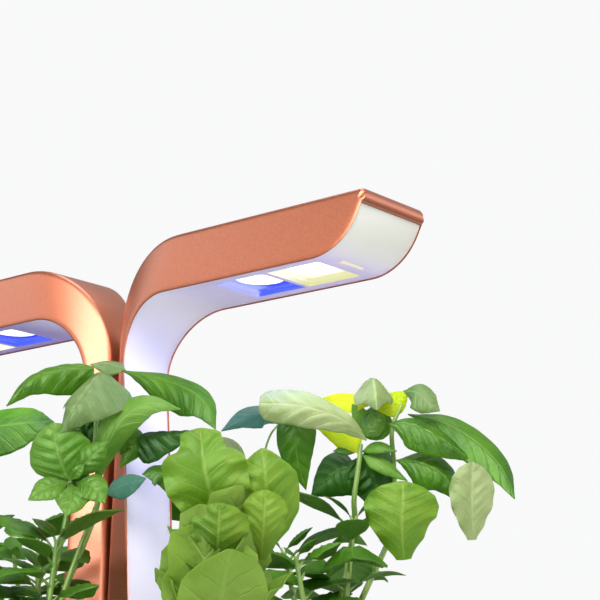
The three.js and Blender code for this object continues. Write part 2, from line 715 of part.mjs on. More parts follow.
// Stage 0 to 1 is the leg, 1 to 2 the bend, 2 to 3 the straight head and 3 to 4 the upswept tip.
function underPoint(stage) {
  if (stage <= 1) {
    return underFoot.clone().lerp(underBend(0), stage);
  }
  if (stage <= 2) {
    return underBend(stage - 1);
  }
  if (stage <= 3) {
    return underBend(1).lerp(flat(TIP_CURVE_START, ARM_UNDERSIDE), stage - 2);
  }
  const arcLength = TIP_CURVE_RADIUS * TIP_CURVE_ANGLE;
  const run = (stage - 3) * (arcLength + TIP_FLAT);
  const angle = Math.min(run / TIP_CURVE_RADIUS, TIP_CURVE_ANGLE);
  const beyond = Math.max(run - arcLength, 0);
  return flat(
    TIP_CURVE_START + TIP_CURVE_RADIUS * Math.sin(angle) + beyond * Math.cos(angle),
    ARM_UNDERSIDE + TIP_CURVE_RADIUS * (1 - Math.cos(angle)) + beyond * Math.sin(angle),
  );
}

function overPoint(stage) {
  if (stage <= 1) {
    return overFoot.clone().lerp(overBend(0), stage);
  }
  if (stage <= 2) {
    return overBend(stage - 1);
  }
  if (stage <= 3) {
    return overBend(1).lerp(flat(TIP_CURVE_START, ARM_TOP), stage - 2);
  }
  const share = (underPoint(stage).x - TIP_CURVE_START) / (ARM_REACH - TIP_CURVE_START);
  return flat(THREE.MathUtils.lerp(TIP_CURVE_START, ARM_REACH - NOSE_SLOPE, share), ARM_TOP);
}

// The direction into the arm from its under line, or out of it from its over line.
function squareTo(line, stage) {
  const before = line(Math.max(stage - STAGE_STEP_SHARE, 0));
  const after = line(Math.min(stage + STAGE_STEP_SHARE, STAGE_COUNT));
  const along = after.sub(before).normalize();
  return flat(-along.y, along.x);
}

function station(stage) {
  const under = underPoint(stage);
  const over = overPoint(stage);
  const blend = THREE.MathUtils.smoothstep(stage, WIDTH_BLEND_START_SHARE, WIDTH_BLEND_END_SHARE);
  return {
    under,
    over,
    inward: squareTo(underPoint, stage),
    outward: squareTo(overPoint, stage),
    thick: under.distanceTo(over),
    underHalf: THREE.MathUtils.lerp(LEG_FRONT_HALF_WIDTH, ARM_HEAD_HALF_WIDTH, blend),
    overHalf: THREE.MathUtils.lerp(LEG_BACK_HALF_WIDTH, ARM_HEAD_HALF_WIDTH, blend),
  };
}

const fromUnder = (s, depth, inset) => ({
  point: s.under.clone().addScaledVector(s.inward, depth),
  half: THREE.MathUtils.lerp(s.underHalf, s.overHalf, depth / s.thick) - inset,
});
const fromOver = (s, depth, inset) => ({
  point: s.over.clone().addScaledVector(s.outward, -depth),
  half: THREE.MathUtils.lerp(s.overHalf, s.underHalf, depth / s.thick) - inset,
});
const acrossArm = (levels) => [
  ...levels.map(({ point, half }) => vector(point.x, half, point.y)),
  ...levels.toReversed().map(({ point, half }) => vector(point.x, -half, point.y)),
];

const stagesBetween = (start, end, steps) =>
  Array.from({ length: steps }, (_, i) => start + ((end - start) * i) / steps);
const armStages = (end) => [
  0,
  WIDTH_BLEND_START_SHARE,
  ...stagesBetween(1, 2, BEND_STEPS),
  2,
  WIDTH_BLEND_END_SHARE,
  ...stagesBetween(3, end, TIP_STEPS),
  end,
];

const TIP_RUN = TIP_CURVE_RADIUS * TIP_CURVE_ANGLE + TIP_FLAT;
const CAVITY_END_SHARE = 3 + CAVITY_TIP_SHARE;
const SEAT_END_SHARE = STAGE_COUNT - TIP_LIP / TIP_RUN;
const PANEL_END_SHARE = SEAT_END_SHARE - RUNNING_GAP / TIP_RUN;
const SEAT_DEPTH = PANEL_RECESS + PANEL_THICKNESS + RUNNING_GAP;

function armOutside() {
  const rings = armStages(STAGE_COUNT).map((stage) => {
    const s = station(stage);
    return acrossArm([
      fromUnder(s, 0, 0),
      fromOver(s, ARM_EDGE_CHAMFER, 0),
      fromOver(s, 0, ARM_EDGE_CHAMFER),
    ]);
  });
  return loft(rings);
}

function belowFoot(ring) {
  return ring.map((point) => vector(point.x, point.y, point.z - CUT_OVERRUN));
}

function armShell() {
  const cavity = armStages(CAVITY_END_SHARE).map((stage) => {
    const s = station(stage);
    return acrossArm([fromUnder(s, SEAT_DEPTH / 2, ARM_WALL), fromOver(s, ARM_WALL, ARM_WALL)]);
  });
  const seat = armStages(SEAT_END_SHARE).map((stage) => {
    const s = station(stage);
    return acrossArm([fromUnder(s, -CUT_OVERRUN, ARM_RIM), fromUnder(s, SEAT_DEPTH, ARM_RIM)]);
  });
  return cut(armOutside(), [
    loft([belowFoot(cavity[0]), ...cavity]),
    loft([belowFoot(seat[0]), ...seat]),
  ]);
}

const LAMP_END = TIP_CURVE_START - LAMP_TO_TIP_CURVE;
const WINDOW_START = LAMP_END - 2 * WINDOW_SIZE - WINDOW_BRIDGE;
const windowCentres = {
  blue: WINDOW_START + WINDOW_SIZE / 2,
  white: LAMP_END - WINDOW_SIZE / 2,
};
const lampMiddle = (WINDOW_START + LAMP_END) / 2;
const lampHalfLength = (LAMP_END - WINDOW_START) / 2 + PANE_MARGIN;
const lampHalfWidth = WINDOW_SIZE / 2 + PANE_MARGIN;
const PANE_BOTTOM = ARM_UNDERSIDE + PANEL_RECESS + PANEL_THICKNESS + RUNNING_GAP;
const TRAY_BOTTOM = PANE_BOTTOM + PANE_THICKNESS + RUNNING_GAP;
const TRAY_TOP = TRAY_BOTTOM + TRAY_DEPTH;
const LAMP_BOARD_BOTTOM = TRAY_TOP + RUNNING_GAP;
const LAMP_BOARD_TOP = LAMP_BOARD_BOTTOM + BOARD_THICKNESS;
const SINK_BOTTOM = LAMP_BOARD_TOP + RUNNING_GAP;
const SINK_TOP = ARM_TOP - ARM_WALL - RUNNING_GAP;

const windowCut = (bottom, top, half, radius) => (centre) =>
  prism(roundedOutline(half, half, radius), bottom, top).translate([centre, 0, 0]);

// The sensor's place on the tip curve: where it is and how far it leans.
const SENSOR_ANGLE = SENSOR_ARC_SHARE * TIP_CURVE_ANGLE;
const sensorPoint = flat(
  TIP_CURVE_START + TIP_CURVE_RADIUS * Math.sin(SENSOR_ANGLE),
  ARM_UNDERSIDE + TIP_CURVE_RADIUS * (1 - Math.cos(SENSOR_ANGLE)),
);

function sensorBar(growth, bottom, top) {
  const bar = prism(
    roundedOutline(SENSOR_WIDTH / 2 + growth, SENSOR_LENGTH / 2 + growth, SENSOR_WIDTH / 2),
    bottom,
    top,
  );
  const lean = -THREE.MathUtils.radToDeg(SENSOR_ANGLE);
  return bar.rotate([0, lean, 0]).translate([sensorPoint.x, 0, sensorPoint.y]);
}

function armPanel() {
  const inset = ARM_RIM + RUNNING_GAP;
  const rings = armStages(PANEL_END_SHARE).map((stage) => {
    const s = station(stage);
    return acrossArm([
      fromUnder(s, PANEL_RECESS, inset),
      fromUnder(s, PANEL_RECESS + PANEL_THICKNESS, inset),
    ]);
  });
  const openings = Object.values(windowCentres).map(
    windowCut(ARM_UNDERSIDE - CUT_OVERRUN, PANE_BOTTOM + CUT_OVERRUN, WINDOW_SIZE / 2, WINDOW_RADIUS),
  );
  const sensorHole = sensorBar(RUNNING_GAP / 2, -CUT_OVERRUN, SEAT_DEPTH + CUT_OVERRUN);
  return cut(loft(rings), [...openings, sensorHole]);
}

const lampSlab = (bottom, top, growth = 0) =>
  prism(
    roundedOutline(lampHalfLength + growth, lampHalfWidth + growth, WINDOW_RADIUS),
    bottom,
    top,
  ).translate([lampMiddle, 0, 0]);

function reflectorTray() {
  const half = WINDOW_SIZE / 2;
  const pockets = Object.values(windowCentres).map((centre) =>
    loft([
      atHeight(roundedOutline(half, half, WINDOW_RADIUS), TRAY_BOTTOM - RUNNING_GAP / 2),
      atHeight(roundedOutline(half - TRAY_DRAFT, half - TRAY_DRAFT, WINDOW_RADIUS), TRAY_TOP - TRAY_FLOOR),
    ]).translate([centre, 0, 0]),
  );
  const emitterHoles = Object.values(windowCentres).map((centre) =>
    disc(centre, 0, TRAY_BOTTOM, TRAY_TOP + CUT_OVERRUN, COB_RADIUS + RUNNING_GAP),
  );
  return cut(lampSlab(TRAY_BOTTOM, TRAY_TOP), [...pockets, ...emitterHoles]);
}

function heatSink() {
  const plate = lampSlab(SINK_BOTTOM, SINK_BOTTOM + SINK_BASE);
  const pitch = (2 * lampHalfWidth - SINK_FIN) / (SINK_FIN_COUNT - 1);
  const fins = Array.from({ length: SINK_FIN_COUNT }, (_, i) => {
    const y = -lampHalfWidth + i * pitch;
    return barBetween(
      vector(lampMiddle - lampHalfLength + WINDOW_RADIUS, y, SINK_BOTTOM),
      vector(lampMiddle + lampHalfLength - WINDOW_RADIUS, y + SINK_FIN, SINK_TOP),
    );
  });
  return join([plate, ...fins]);
}

// The lead runs down the hollow post, up through the bend and along to the lamp board.
const POST_MIDDLE = POST_START + POST_THICKNESS / 2;
const BRACKET_BOTTOM = BASE_PLATE_TOP + RUNNING_GAP;
const POST_BOTTOM = BRACKET_BOTTOM + BRACKET_HEIGHT / 3;
const POST_TOP = LEG_BASE_BOTTOM + LIFT_TRAVEL + POST_OVERLAP;

function lampWire() {
  const joinHeight = (station(1).under.y + POST_TOP) / 2;
  const below = [vector(POST_MIDDLE, 0, LEG_BASE_TOP), vector(POST_MIDDLE, 0, joinHeight)];
  const through = [...stagesBetween(1, 2, WIRE_BEND_COUNT), 2].map((stage) => {
    const s = station(stage);
    const middle = s.under.clone().lerp(s.over, 1 / 2);
    return vector(middle.x, 0, middle.y);
  });
  const landing = vector(
    lampMiddle - lampHalfLength - RUNNING_GAP,
    0,
    (LAMP_BOARD_BOTTOM + LAMP_BOARD_TOP) / 2,
  );
  const points = [...below, ...through, landing];
  return rod(points, points.map(() => WIRE_RADIUS), WIRE_SIDES);
}

function buildArm(side) {
  const group = new THREE.Group();
  group.rotation.z = side === "left" ? HALF_TURN : 0;
  const cob = (centre) => disc(centre, 0, TRAY_TOP - COB_HEIGHT, TRAY_TOP, COB_RADIUS);
  const sensor = sensorBar(0, PANEL_RECESS / 2, PANEL_RECESS + PANEL_THICKNESS);
  group.add(
    part(`arm_shell_${side}`, armShell(), copperPaint),
    part(`arm_panel_${side}`, armPanel(), whitePlastic),
    part(`lamp_window_${side}`, lampSlab(PANE_BOTTOM, PANE_BOTTOM + PANE_THICKNESS), clearPlastic),
    part(`reflector_tray_${side}`, reflectorTray(), reflectorPlastic),
    part(`blue_led_${side}`, cob(windowCentres.blue), blueEmitter),
    part(`white_led_${side}`, cob(windowCentres.white), warmEmitter),
    part(`lamp_board_${side}`, lampSlab(LAMP_BOARD_BOTTOM, LAMP_BOARD_TOP), circuitGreen),
    part(`heat_sink_${side}`, heatSink(), sinkMetal),
    part(`light_sensor_${side}`, sensor, sensorLens),
    part(`lamp_wire_${side}`, lampWire(), cableBlack),
  );
  return group;
}

// Mast: two hollow posts stand in a bracket on the base plate, and the arms slide up on them.
function postOutline(growth) {
  return roundedOutline(POST_THICKNESS / 2 + growth, POST_WIDTH / 2 + growth, SPINDLE_RADIUS, 2);
}

function liftPost(side) {
  const outside = prism(postOutline(0), POST_BOTTOM, POST_TOP).translate([side * POST_MIDDLE, 0, 0]);
  const bore = disc(
    side * POST_MIDDLE,
    0,
    POST_BOTTOM - CUT_OVERRUN,
    POST_TOP + CUT_OVERRUN,
    POST_BORE_RADIUS,
    ROUND_SIDES / 2,
  );
  return cut(outside, [bore]);
}

const postHoles = (bottom, top, growth) =>
  [-1, 1].map((side) => prism(postOutline(growth), bottom, top).translate([side * POST_MIDDLE, 0, 0]));

function postBracket() {
  const halfX = POST_START + POST_THICKNESS + BRACKET_MARGIN;
  const halfY = WELL_HALF_Y - WELL_WALL - SLIDE_GAP;
  const body = prism(
    roundedOutline(halfX, halfY, BRACKET_MARGIN / 2, 2),
    BRACKET_BOTTOM,
    BRACKET_BOTTOM + BRACKET_HEIGHT,
  );
  const top = BRACKET_BOTTOM + BRACKET_HEIGHT + CUT_OVERRUN;
  return cut(body, postHoles(POST_BOTTOM - RUNNING_GAP, top, RUNNING_GAP));
}

function mastCollar() {
  const halfX = LEG_FRONT_AT_FOOT + MAST_COLLAR_MARGIN;
  const halfY = LEG_FRONT_HALF_WIDTH + MAST_COLLAR_MARGIN;
  const top = MAST_COLLAR_BOTTOM + MAST_COLLAR_HEIGHT;
  const outline = (inset) => roundedOutline(halfX - inset, halfY - inset, CORNER_ROUNDING * 2 - inset);
  const plate = loft([
    atHeight(outline(0), MAST_COLLAR_BOTTOM),
    atHeight(outline(0), top - COLLAR_EDGE),
    atHeight(outline(COLLAR_EDGE), top),
  ]);
  return cut(plate, postHoles(MAST_COLLAR_BOTTOM - CUT_OVERRUN, top + CUT_OVERRUN, RUNNING_GAP));
}

// The leg base ties both legs together and guides them on the posts.
function legBase() {
  const halfX = LEG_FRONT_AT_FOOT + LEG_BASE_MARGIN;
  const halfY = LEG_FRONT_HALF_WIDTH + LEG_BASE_MARGIN;
  const plate = prism(roundedOutline(halfX, halfY, CORNER_ROUNDING), LEG_BASE_BOTTOM, LEG_BASE_TOP);
  const plugHalfY = LEG_BACK_HALF_WIDTH - ARM_WALL - SLIDE_GAP;
  const plugs = [-1, 1].map((side) => {
    const near = side * (LEG_BACK_AT_FOOT + ARM_WALL + 2 * SLIDE_GAP);
    const far = side * (POST_START + POST_THICKNESS + BRACKET_MARGIN);
    return barBetween(
      vector(Math.min(near, far), -plugHalfY, LEG_BASE_TOP - RUNNING_GAP),
      vector(Math.max(near, far), plugHalfY, LEG_BASE_TOP + LEG_PLUG_HEIGHT),
    );
  });
  const top = LEG_BASE_TOP + LEG_PLUG_HEIGHT + CUT_OVERRUN;
  return cut(join([plate, ...plugs]), postHoles(LEG_BASE_BOTTOM - CUT_OVERRUN, top, RUNNING_GAP));
}

// Level float: a body under the deck, and a stem whose crown rests on the deck when the tank is low.
const FLOAT_TOP = DECK_TOP - DECK_THICKNESS - SOCKET_DEPTH - FLOAT_TRAVEL - FLOAT_RIM;
const floatBody = () =>
  turned([
    [0, FLOAT_TOP - FLOAT_HEIGHT],
    [FLOAT_RADIUS - FLOAT_RIM, FLOAT_TOP - FLOAT_HEIGHT],
    [FLOAT_RADIUS, FLOAT_TOP - FLOAT_HEIGHT + FLOAT_RIM],
    [FLOAT_RADIUS, FLOAT_TOP - FLOAT_RIM],
    [FLOAT_RADIUS - FLOAT_RIM, FLOAT_TOP],
    [FLOAT_STEM_RADIUS, FLOAT_TOP],
    [FLOAT_STEM_RADIUS, DECK_TOP + RUNNING_GAP],
    [FLOAT_CROWN_RADIUS, DECK_TOP + RUNNING_GAP],
    [FLOAT_CROWN_RADIUS, DECK_TOP + FLOAT_CROWN_HEIGHT],
    [0, DECK_TOP + FLOAT_CROWN_HEIGHT],
  ]);

const BUTTON_BOTTOM = DECK_TOP + BUTTON_RAISE - BUTTON_HEIGHT;
const CUP_FLOOR = DECK_TOP - BUTTON_CUP_DEPTH + BUTTON_CUP_WALL;
const powerButton = () =>
  turned([
    [0, BUTTON_BOTTOM],
    [BUTTON_RADIUS, BUTTON_BOTTOM],
    [BUTTON_RADIUS, DECK_TOP + BUTTON_RAISE - COLLAR_EDGE / 2],
    [BUTTON_RADIUS - COLLAR_EDGE / 2, DECK_TOP + BUTTON_RAISE],
    [0, DECK_TOP + BUTTON_RAISE],
  ]);

function buttonSpring() {
  const bottom = CUP_FLOOR + RUNNING_GAP + SPRING_WIRE;
  const top = BUTTON_BOTTOM - RUNNING_GAP - SPRING_WIRE;
  const steps = SPRING_CURL_COUNT * SPRING_STEPS;
  const points = Array.from({ length: steps + 1 }, (_, i) => {
    const angle = (i / SPRING_STEPS) * 2 * HALF_TURN;
    return vector(
      SPRING_RADIUS * Math.cos(angle),
      SPRING_RADIUS * Math.sin(angle),
      bottom + ((top - bottom) * i) / steps,
    );
  });
  return coil(points, SPRING_WIRE, SPRING_SIDES);
}

// Rings for a coil about Z: each lies in the plane through the axis.
function coil(points, radius, sides) {
  return loft(
    points.map((point) => {
      const out = vector(point.x, point.y, 0).normalize();
      return Array.from({ length: sides }, (_, k) => {
        const angle = (-k / sides) * 2 * HALF_TURN;
        return point
          .clone()
          .addScaledVector(out, radius * Math.cos(angle))
          .add(vector(0, 0, radius * Math.sin(angle)));
      });
    }),
  );
}

// Pump: a round housing on the liner's floor with a slotted cover below and a nozzle on top.
const PUMP_COVER_BOTTOM = LINER_FLOOR_BOTTOM + LINER_FLOOR + RUNNING_GAP;
const PUMP_BODY_BOTTOM = PUMP_COVER_BOTTOM + PUMP_COVER_HEIGHT + RUNNING_GAP;
const PUMP_TOP = PUMP_BODY_BOTTOM + PUMP_HEIGHT;
const IMPELLER_BOTTOM = PUMP_COVER_BOTTOM + PUMP_COVER_HEIGHT + 2 * RUNNING_GAP;

function pumpBody() {
  const housing = turned([
    [0, PUMP_BODY_BOTTOM],
    [PUMP_RADIUS, PUMP_BODY_BOTTOM],
    [PUMP_RADIUS, PUMP_TOP - PUMP_WALL],
    [PUMP_RADIUS - PUMP_WALL, PUMP_TOP],
    [0, PUMP_TOP],
  ]);
  const nozzlePart = (bottom, top, radius) =>
    disc(IMPELLER_RADIUS - PUMP_NOZZLE_RADIUS, 0, bottom, top, radius, ROUND_SIDES / 2);
  const nozzleTop = PUMP_TOP + PUMP_NOZZLE_HEIGHT;
  const nozzle = nozzlePart(PUMP_TOP - PUMP_WALL, nozzleTop, PUMP_NOZZLE_RADIUS);
  const bore = nozzlePart(PUMP_BODY_BOTTOM, nozzleTop + CUT_OVERRUN, PUMP_NOZZLE_BORE);
  const chamberTop = IMPELLER_BOTTOM + IMPELLER_HEIGHT + SLIDE_GAP;
  const chamber = disc(0, 0, PUMP_BODY_BOTTOM - CUT_OVERRUN, chamberTop, IMPELLER_RADIUS + PUMP_WALL);
  const spindle = disc(0, 0, IMPELLER_BOTTOM, PUMP_TOP - PUMP_WALL, SPINDLE_RADIUS, ROUND_SIDES / 2);
  return join([cut(join([housing, nozzle]), [chamber, bore]), spindle]);
}

function pumpImpeller() {
  const top = IMPELLER_BOTTOM + IMPELLER_HEIGHT;
  const disk = disc(0, 0, IMPELLER_BOTTOM, IMPELLER_BOTTOM + IMPELLER_DISC, IMPELLER_RADIUS);
  const hub = disc(0, 0, IMPELLER_BOTTOM, top, IMPELLER_HUB_RADIUS, ROUND_SIDES / 2);
  const blades = Array.from({ length: IMPELLER_BLADE_COUNT }, (_, i) =>
    barBetween(
      vector(IMPELLER_HUB_RADIUS / 2, -IMPELLER_BLADE / 2, IMPELLER_BOTTOM),
      vector(IMPELLER_RADIUS, IMPELLER_BLADE / 2, top - IMPELLER_DISC),
    ).rotate([0, 0, (360 / IMPELLER_BLADE_COUNT) * i]),
  );
  const bore = disc(
    0,
    0,
    IMPELLER_BOTTOM - CUT_OVERRUN,
    top + CUT_OVERRUN,
    SPINDLE_RADIUS + RUNNING_GAP,
    ROUND_SIDES / 2,
  );
  return cut(join([disk, hub, ...blades]), [bore]);
}

function pumpCover() {
  const top = PUMP_COVER_BOTTOM + PUMP_COVER_HEIGHT;
  const floor = PUMP_COVER_BOTTOM + PUMP_WALL;
  const plate = disc(0, 0, PUMP_COVER_BOTTOM, top, PUMP_RADIUS);
  const hollow = disc(0, 0, floor, top + CUT_OVERRUN, IMPELLER_RADIUS);
  const inlets = Array.from({ length: PUMP_INLET_COUNT / 2 }, (_, i) =>
    barBetween(
      vector(-PUMP_RADIUS - CUT_OVERRUN, -PUMP_INLET_WIDTH / 2, floor),
      vector(PUMP_RADIUS + CUT_OVERRUN, PUMP_INLET_WIDTH / 2, top - PUMP_WALL / 2),
    ).rotate([0, 0, (360 / PUMP_INLET_COUNT) * i]),
  );
  return cut(plate, [hollow, ...inlets]);
}

const controlBoard = () =>
  barBetween(
    vector(BOARD_PLACE_X - BOARD_LENGTH / 2, BOARD_PLACE_Y - BOARD_DEPTH / 2, BOARD_BOTTOM),
    vector(BOARD_PLACE_X + BOARD_LENGTH / 2, BOARD_PLACE_Y + BOARD_DEPTH / 2, BOARD_TOP),
  );

function powerInlet() {
  const back = tankSide(JACK_AXIS) + JACK_PROUD;
  const body = barBetween(
    vector(BOARD_PLACE_X - JACK_WIDTH / 2, back - JACK_LENGTH, JACK_BOTTOM),
    vector(BOARD_PLACE_X + JACK_WIDTH / 2, back, JACK_BOTTOM + JACK_HEIGHT),
  );
  const mouthStart = back - JACK_LENGTH / 2;
  const mouth = crossPin(BOARD_PLACE_X, JACK_AXIS, mouthStart, back + CUT_OVERRUN, JACK_HOLE_RADIUS);
  return cut(body, [mouth]);
}

// Leaves: each follows a line that rises from its stalk and bends over. Its section is a flat triangle
// with the rib below and the edges lifted, and its width along the way is a table of shares.
const basilWidthShares = [[0, 0.02], [0.2, 0.07], [0.44, 0.98], [0.72, 0.8], [1, 0.05]];
const lettuceWidthShares = [[0, 0.05], [0.25, 0.24], [0.55, 0.8], [0.82, 1], [1, 0.5]];

function leafRings(leaf, scale) {
  const out = vector(Math.cos(leaf.azimuth), Math.sin(leaf.azimuth), 0);
  const across = vector(-Math.sin(leaf.azimuth), Math.cos(leaf.azimuth), 0);
  const point = leaf.base.clone().addScaledVector(out, leaf.start);
  let before = 0;
  return leaf.widthShares.map(([share, widthShare]) => {
    const slope = leaf.rise - leaf.droop * share;
    const along = out.clone().multiplyScalar(Math.cos(slope)).add(vector(0, 0, Math.sin(slope)));
    const side = across.clone().applyAxisAngle(along, leaf.twist);
    const face = along.clone().cross(side);
    point.addScaledVector(along, leaf.length * scale * (share - before));
    before = share;
    const half = (leaf.width * scale * widthShare) / 2;
    const thick = Math.min(LEAF_THICKNESS, half);
    const edge = (hand) =>
      point
        .clone()
        .addScaledVector(side, hand * half * Math.cos(leaf.fold))
        .addScaledVector(face, half * Math.sin(leaf.fold));
    return [edge(-1), point.clone().addScaledVector(face, -thick), edge(1)];
  });
}

const isInside = (cell, point) =>
  point.x > cell.minX &&
  point.x < cell.maxX &&
  point.y > cell.minY &&
  point.y < cell.maxY &&
  point.z < PLANT_CEILING;

// A leaf grows as large as its plant's share of the space lets it, or not at all.
function growLeaf(leaf, cell) {
  for (let scale = 1; scale > LEAF_LEAST_SHARE; scale *= LEAF_SHRINK_SHARE) {
    const rings = leafRings(leaf, scale);
    if (rings.flat().every((point) => isInside(cell, point))) {
      return [loft(rings)];
    }
  }
  return [];
}

// The stems and leaves that stand above the others, by plant. A stem has its bearing and its lean as
// shares of half a turn, and its height as a share of the room under the lamp. A leaf has the number of
// its stem and its place up that stem, then its bearing, first slope, droop and twist as shares of half
// a turn, and then its length and width as shares of those of its kind.
const tallStemShares = {
  front_left: [],
  front_centre: [
    [0.16, 0.05, 0.91],
    [-0.01, 0.06, 0.61],
  ],
  front_right: [[0, 0, 0.12]],
  rear_left: [[-0.82, 0.12, 0.84]],
  rear_centre: [[0.23, 0.07, 0.87]],
  rear_right: [
    [0.27, 0.05, 0.86],
    [0.26, 0.075, 0.86],
  ],
};
const tallLeafShares = {
  front_left: [],
  front_centre: [
    [0, 0.98, -0.7, 0, 0.25, -0.35, 0.86, 0.65],
    [0, 0.98, -0.48, -0.2, 0.24, -0.1, 0.8, 1.05],
    [0, 0.98, 0.93, 0.13, 0.13, -0.26, 0.55, 0.35],
    [0, 0.98, 0.1, 0, 0.35, 0.38, 1.14, 0.65],
    [0, 0.68, 0.11, 0.36, 0.42, 0.56, 1.22, 0.46],
    [0, 0.84, 0.11, 0.1, 0.08, 0.31, 0.83, 0.67],
    [0, 0.82, 0.27, 0.1, 0.7, 0.49, 0.59, 0.43],
    [0, 0.66, 0.15, 0.16, 0.06, 0.38, 0.58, 0.35],
    [0, 0.78, 0.55, 0.5, 0, 0.18, 0.64, 0.39],
    [1, 0.98, -0.5, 0.25, -0.15, 0.23, 0.49, 0.87],
    [1, 0.98, 0.05, 0.21, 0, 0.64, 0.46, 0.37],
    [1, 0.98, -0.59, -0.1, 0.11, -0.28, 0.41, 0.4],
    [1, 0.98, 0.05, -0.08, 0.21, 0.29, 0.42, 0.43],
    [1, 0.98, -0.25, -0.27, 0.14, 0, 0.4, 0.43],
  ],
  front_right: [
    [0, 0.9, -0.27, 0.49, 0, 0, 0.9, 0.6],
    [0, 0.6, 0.09, 0.43, 0, -0.33, 0.86, 0.6],
    [0, 0.4, 0, 0.41, 0.04, -0.27, 0.72, 0.4],
    [0, 0.75, -0.2, 0.43, 0.04, -0.07, 0.66, 0.5],
  ],
  rear_left: [[0, 0.98, 0.18, 0.14, 0.15, 0.3, 1.1, 0.9]],
  rear_centre: [
    [0, 0.98, -0.67, 0.16, 0.36, -0.37, 0.7, 0.42],
    [0, 0.86, -0.72, 0.23, 0.08, -0.46, 0.44, 0.2],
  ],
  rear_right: [
    [0, 0.86, -0.68, 0.19, 0.2, -0.44, 1.05, 0.63],
    [0, 0.97, -0.78, 0.1, 0.6, -0.4, 1.2, 0.55],
    [0, 0.83, -0.81, 0.29, 0.18, -0.45, 0.51, 0.4],
    [0, 0.98, -0.84, 0.07, 0, -0.4, 0.45, 0.3],
    [0, 0.98, -0.28, 0.1, 0.45, 0, 0.8, 0.65],
    [0, 0.97, 0.2, 0.16, 0, 0.47, 0.32, 0.35],
    [0, 0.8, -0.97, 0, 0.18, -0.5, 0.67, 0.7],
    [0, 0.8, 0.54, -0.2, 0.12, 0.7, 0.7, 0.74],
    [1, 0.52, -0.08, 0.38, 0, 0.83, 0.94, 1],
    [1, 0.62, 0.17, 0.3, 0.2, 0.45, 0.95, 0.6],
    [1, 0.98, 0.05, 0, 0.17, 0.37, 0.47, 0.4],
    [1, 0.92, 0.16, 0, 0.17, 0.35, 0.88, 0.59],
    [1, 0.98, 0.17, 0.05, 0.45, 0.4, 1.1, 0.57],
    [1, 0.83, 0.29, 0, 0.24, 0.46, 0.77, 0.63],
  ],
};
const TALL_FOLD_ANGLE = 0.2;

function tallGrowth(plant, centre, foliage) {
  const stems = tallStemShares[plant.name].map(([bearing, lean, height]) => {
    const rise = (PLANT_CEILING - centre.z) * height;
    const reach = Math.tan(lean * HALF_TURN) * rise;
    const sweep = vector(Math.cos(bearing * HALF_TURN) * reach, Math.sin(bearing * HALF_TURN) * reach, rise);
    return { foot: centre, tip: centre.clone().add(sweep) };
  });
  const leaves = tallLeafShares[plant.name].flatMap(([stem, place, bearing, rise, droop, twist, length, width]) =>
    growLeaf(
      {
        base: stems[stem].foot.clone().lerp(stems[stem].tip, place),
        start: 0,
        azimuth: bearing * HALF_TURN,
        length: foliage.length * length,
        width: foliage.width * width,
        rise: rise * HALF_TURN,
        droop: droop * HALF_TURN,
        twist: twist * HALF_TURN,
        fold: TALL_FOLD_ANGLE,
        widthShares: foliage.widthShares,
      },
      plant.cell,
    ),
  );
  const stalks = stems.map(({ foot, tip }) => rod([foot, tip], [STEM_RADIUS, STEM_TIP_RADIUS], STEM_SIDES));
  return [...stalks, ...leaves];
}

// Basil: leaning stems with pairs of leaves, each pair a quarter turn from the last.
const basilStems = [
  { turn: 0, lean: 0.1, heightShare: 1 },
  { turn: 2.2, lean: 0.4, heightShare: 0.86 },
  { turn: 4.3, lean: 0.44, heightShare: 0.78 },
];
const basilPairs = [
  { atShare: 0.52, sizeShare: 0.9, rise: 0.35 },
  { atShare: 0.74, sizeShare: 1, rise: 0.6 },
  { atShare: 0.93, sizeShare: 0.7, rise: 1 },
];
const BASIL_DROOP_ANGLE = 1.1;
const BASIL_FOLD_ANGLE = 0.25;
const basilFoliage = { length: BASIL_LEAF, width: BASIL_WIDTH, widthShares: basilWidthShares };

function basilPlant(plant, centre) {
  const height = (PLANT_CEILING - centre.z) * plant.fillShare;
  const bush = basilStems.flatMap((stem, stemNumber) => {
    const azimuth = stem.turn + plant.turn;
    const outward = vector(Math.cos(azimuth), Math.sin(azimuth), 0);
    const stemHeight = height * stem.heightShare;
    const foot = centre.clone().addScaledVector(outward, STEM_SPACING);
    const tip = foot
      .clone()
      .addScaledVector(outward, Math.tan(stem.lean) * stemHeight)
      .add(vector(0, 0, stemHeight));
    tip.x = THREE.MathUtils.clamp(tip.x, plant.cell.minX + STEM_RADIUS, plant.cell.maxX - STEM_RADIUS);
    tip.y = THREE.MathUtils.clamp(tip.y, plant.cell.minY + STEM_RADIUS, plant.cell.maxY - STEM_RADIUS);
    const stalk = rod([foot, tip], [STEM_RADIUS, STEM_TIP_RADIUS], STEM_SIDES);
    const leaves = basilPairs.flatMap((pair, pairNumber) =>
      [0, 1].flatMap((side) =>
        growLeaf(
          {
            base: foot.clone().lerp(tip, pair.atShare),
            start: STEM_TIP_RADIUS * LEAF_ROOT_SHARE,
            azimuth: azimuth + (pairNumber + stemNumber / 2) * QUARTER_TURN + side * HALF_TURN,
            length: BASIL_LEAF * pair.sizeShare,
            width: BASIL_WIDTH * pair.sizeShare,
            rise: pair.rise,
            droop: BASIL_DROOP_ANGLE,
            twist: 0,
            fold: BASIL_FOLD_ANGLE,
            widthShares: basilWidthShares,
          },
          plant.cell,
        ),
      ),
    );
    return [stalk, ...leaves];
  });
  return [...bush, ...tallGrowth(plant, centre, basilFoliage)];
}

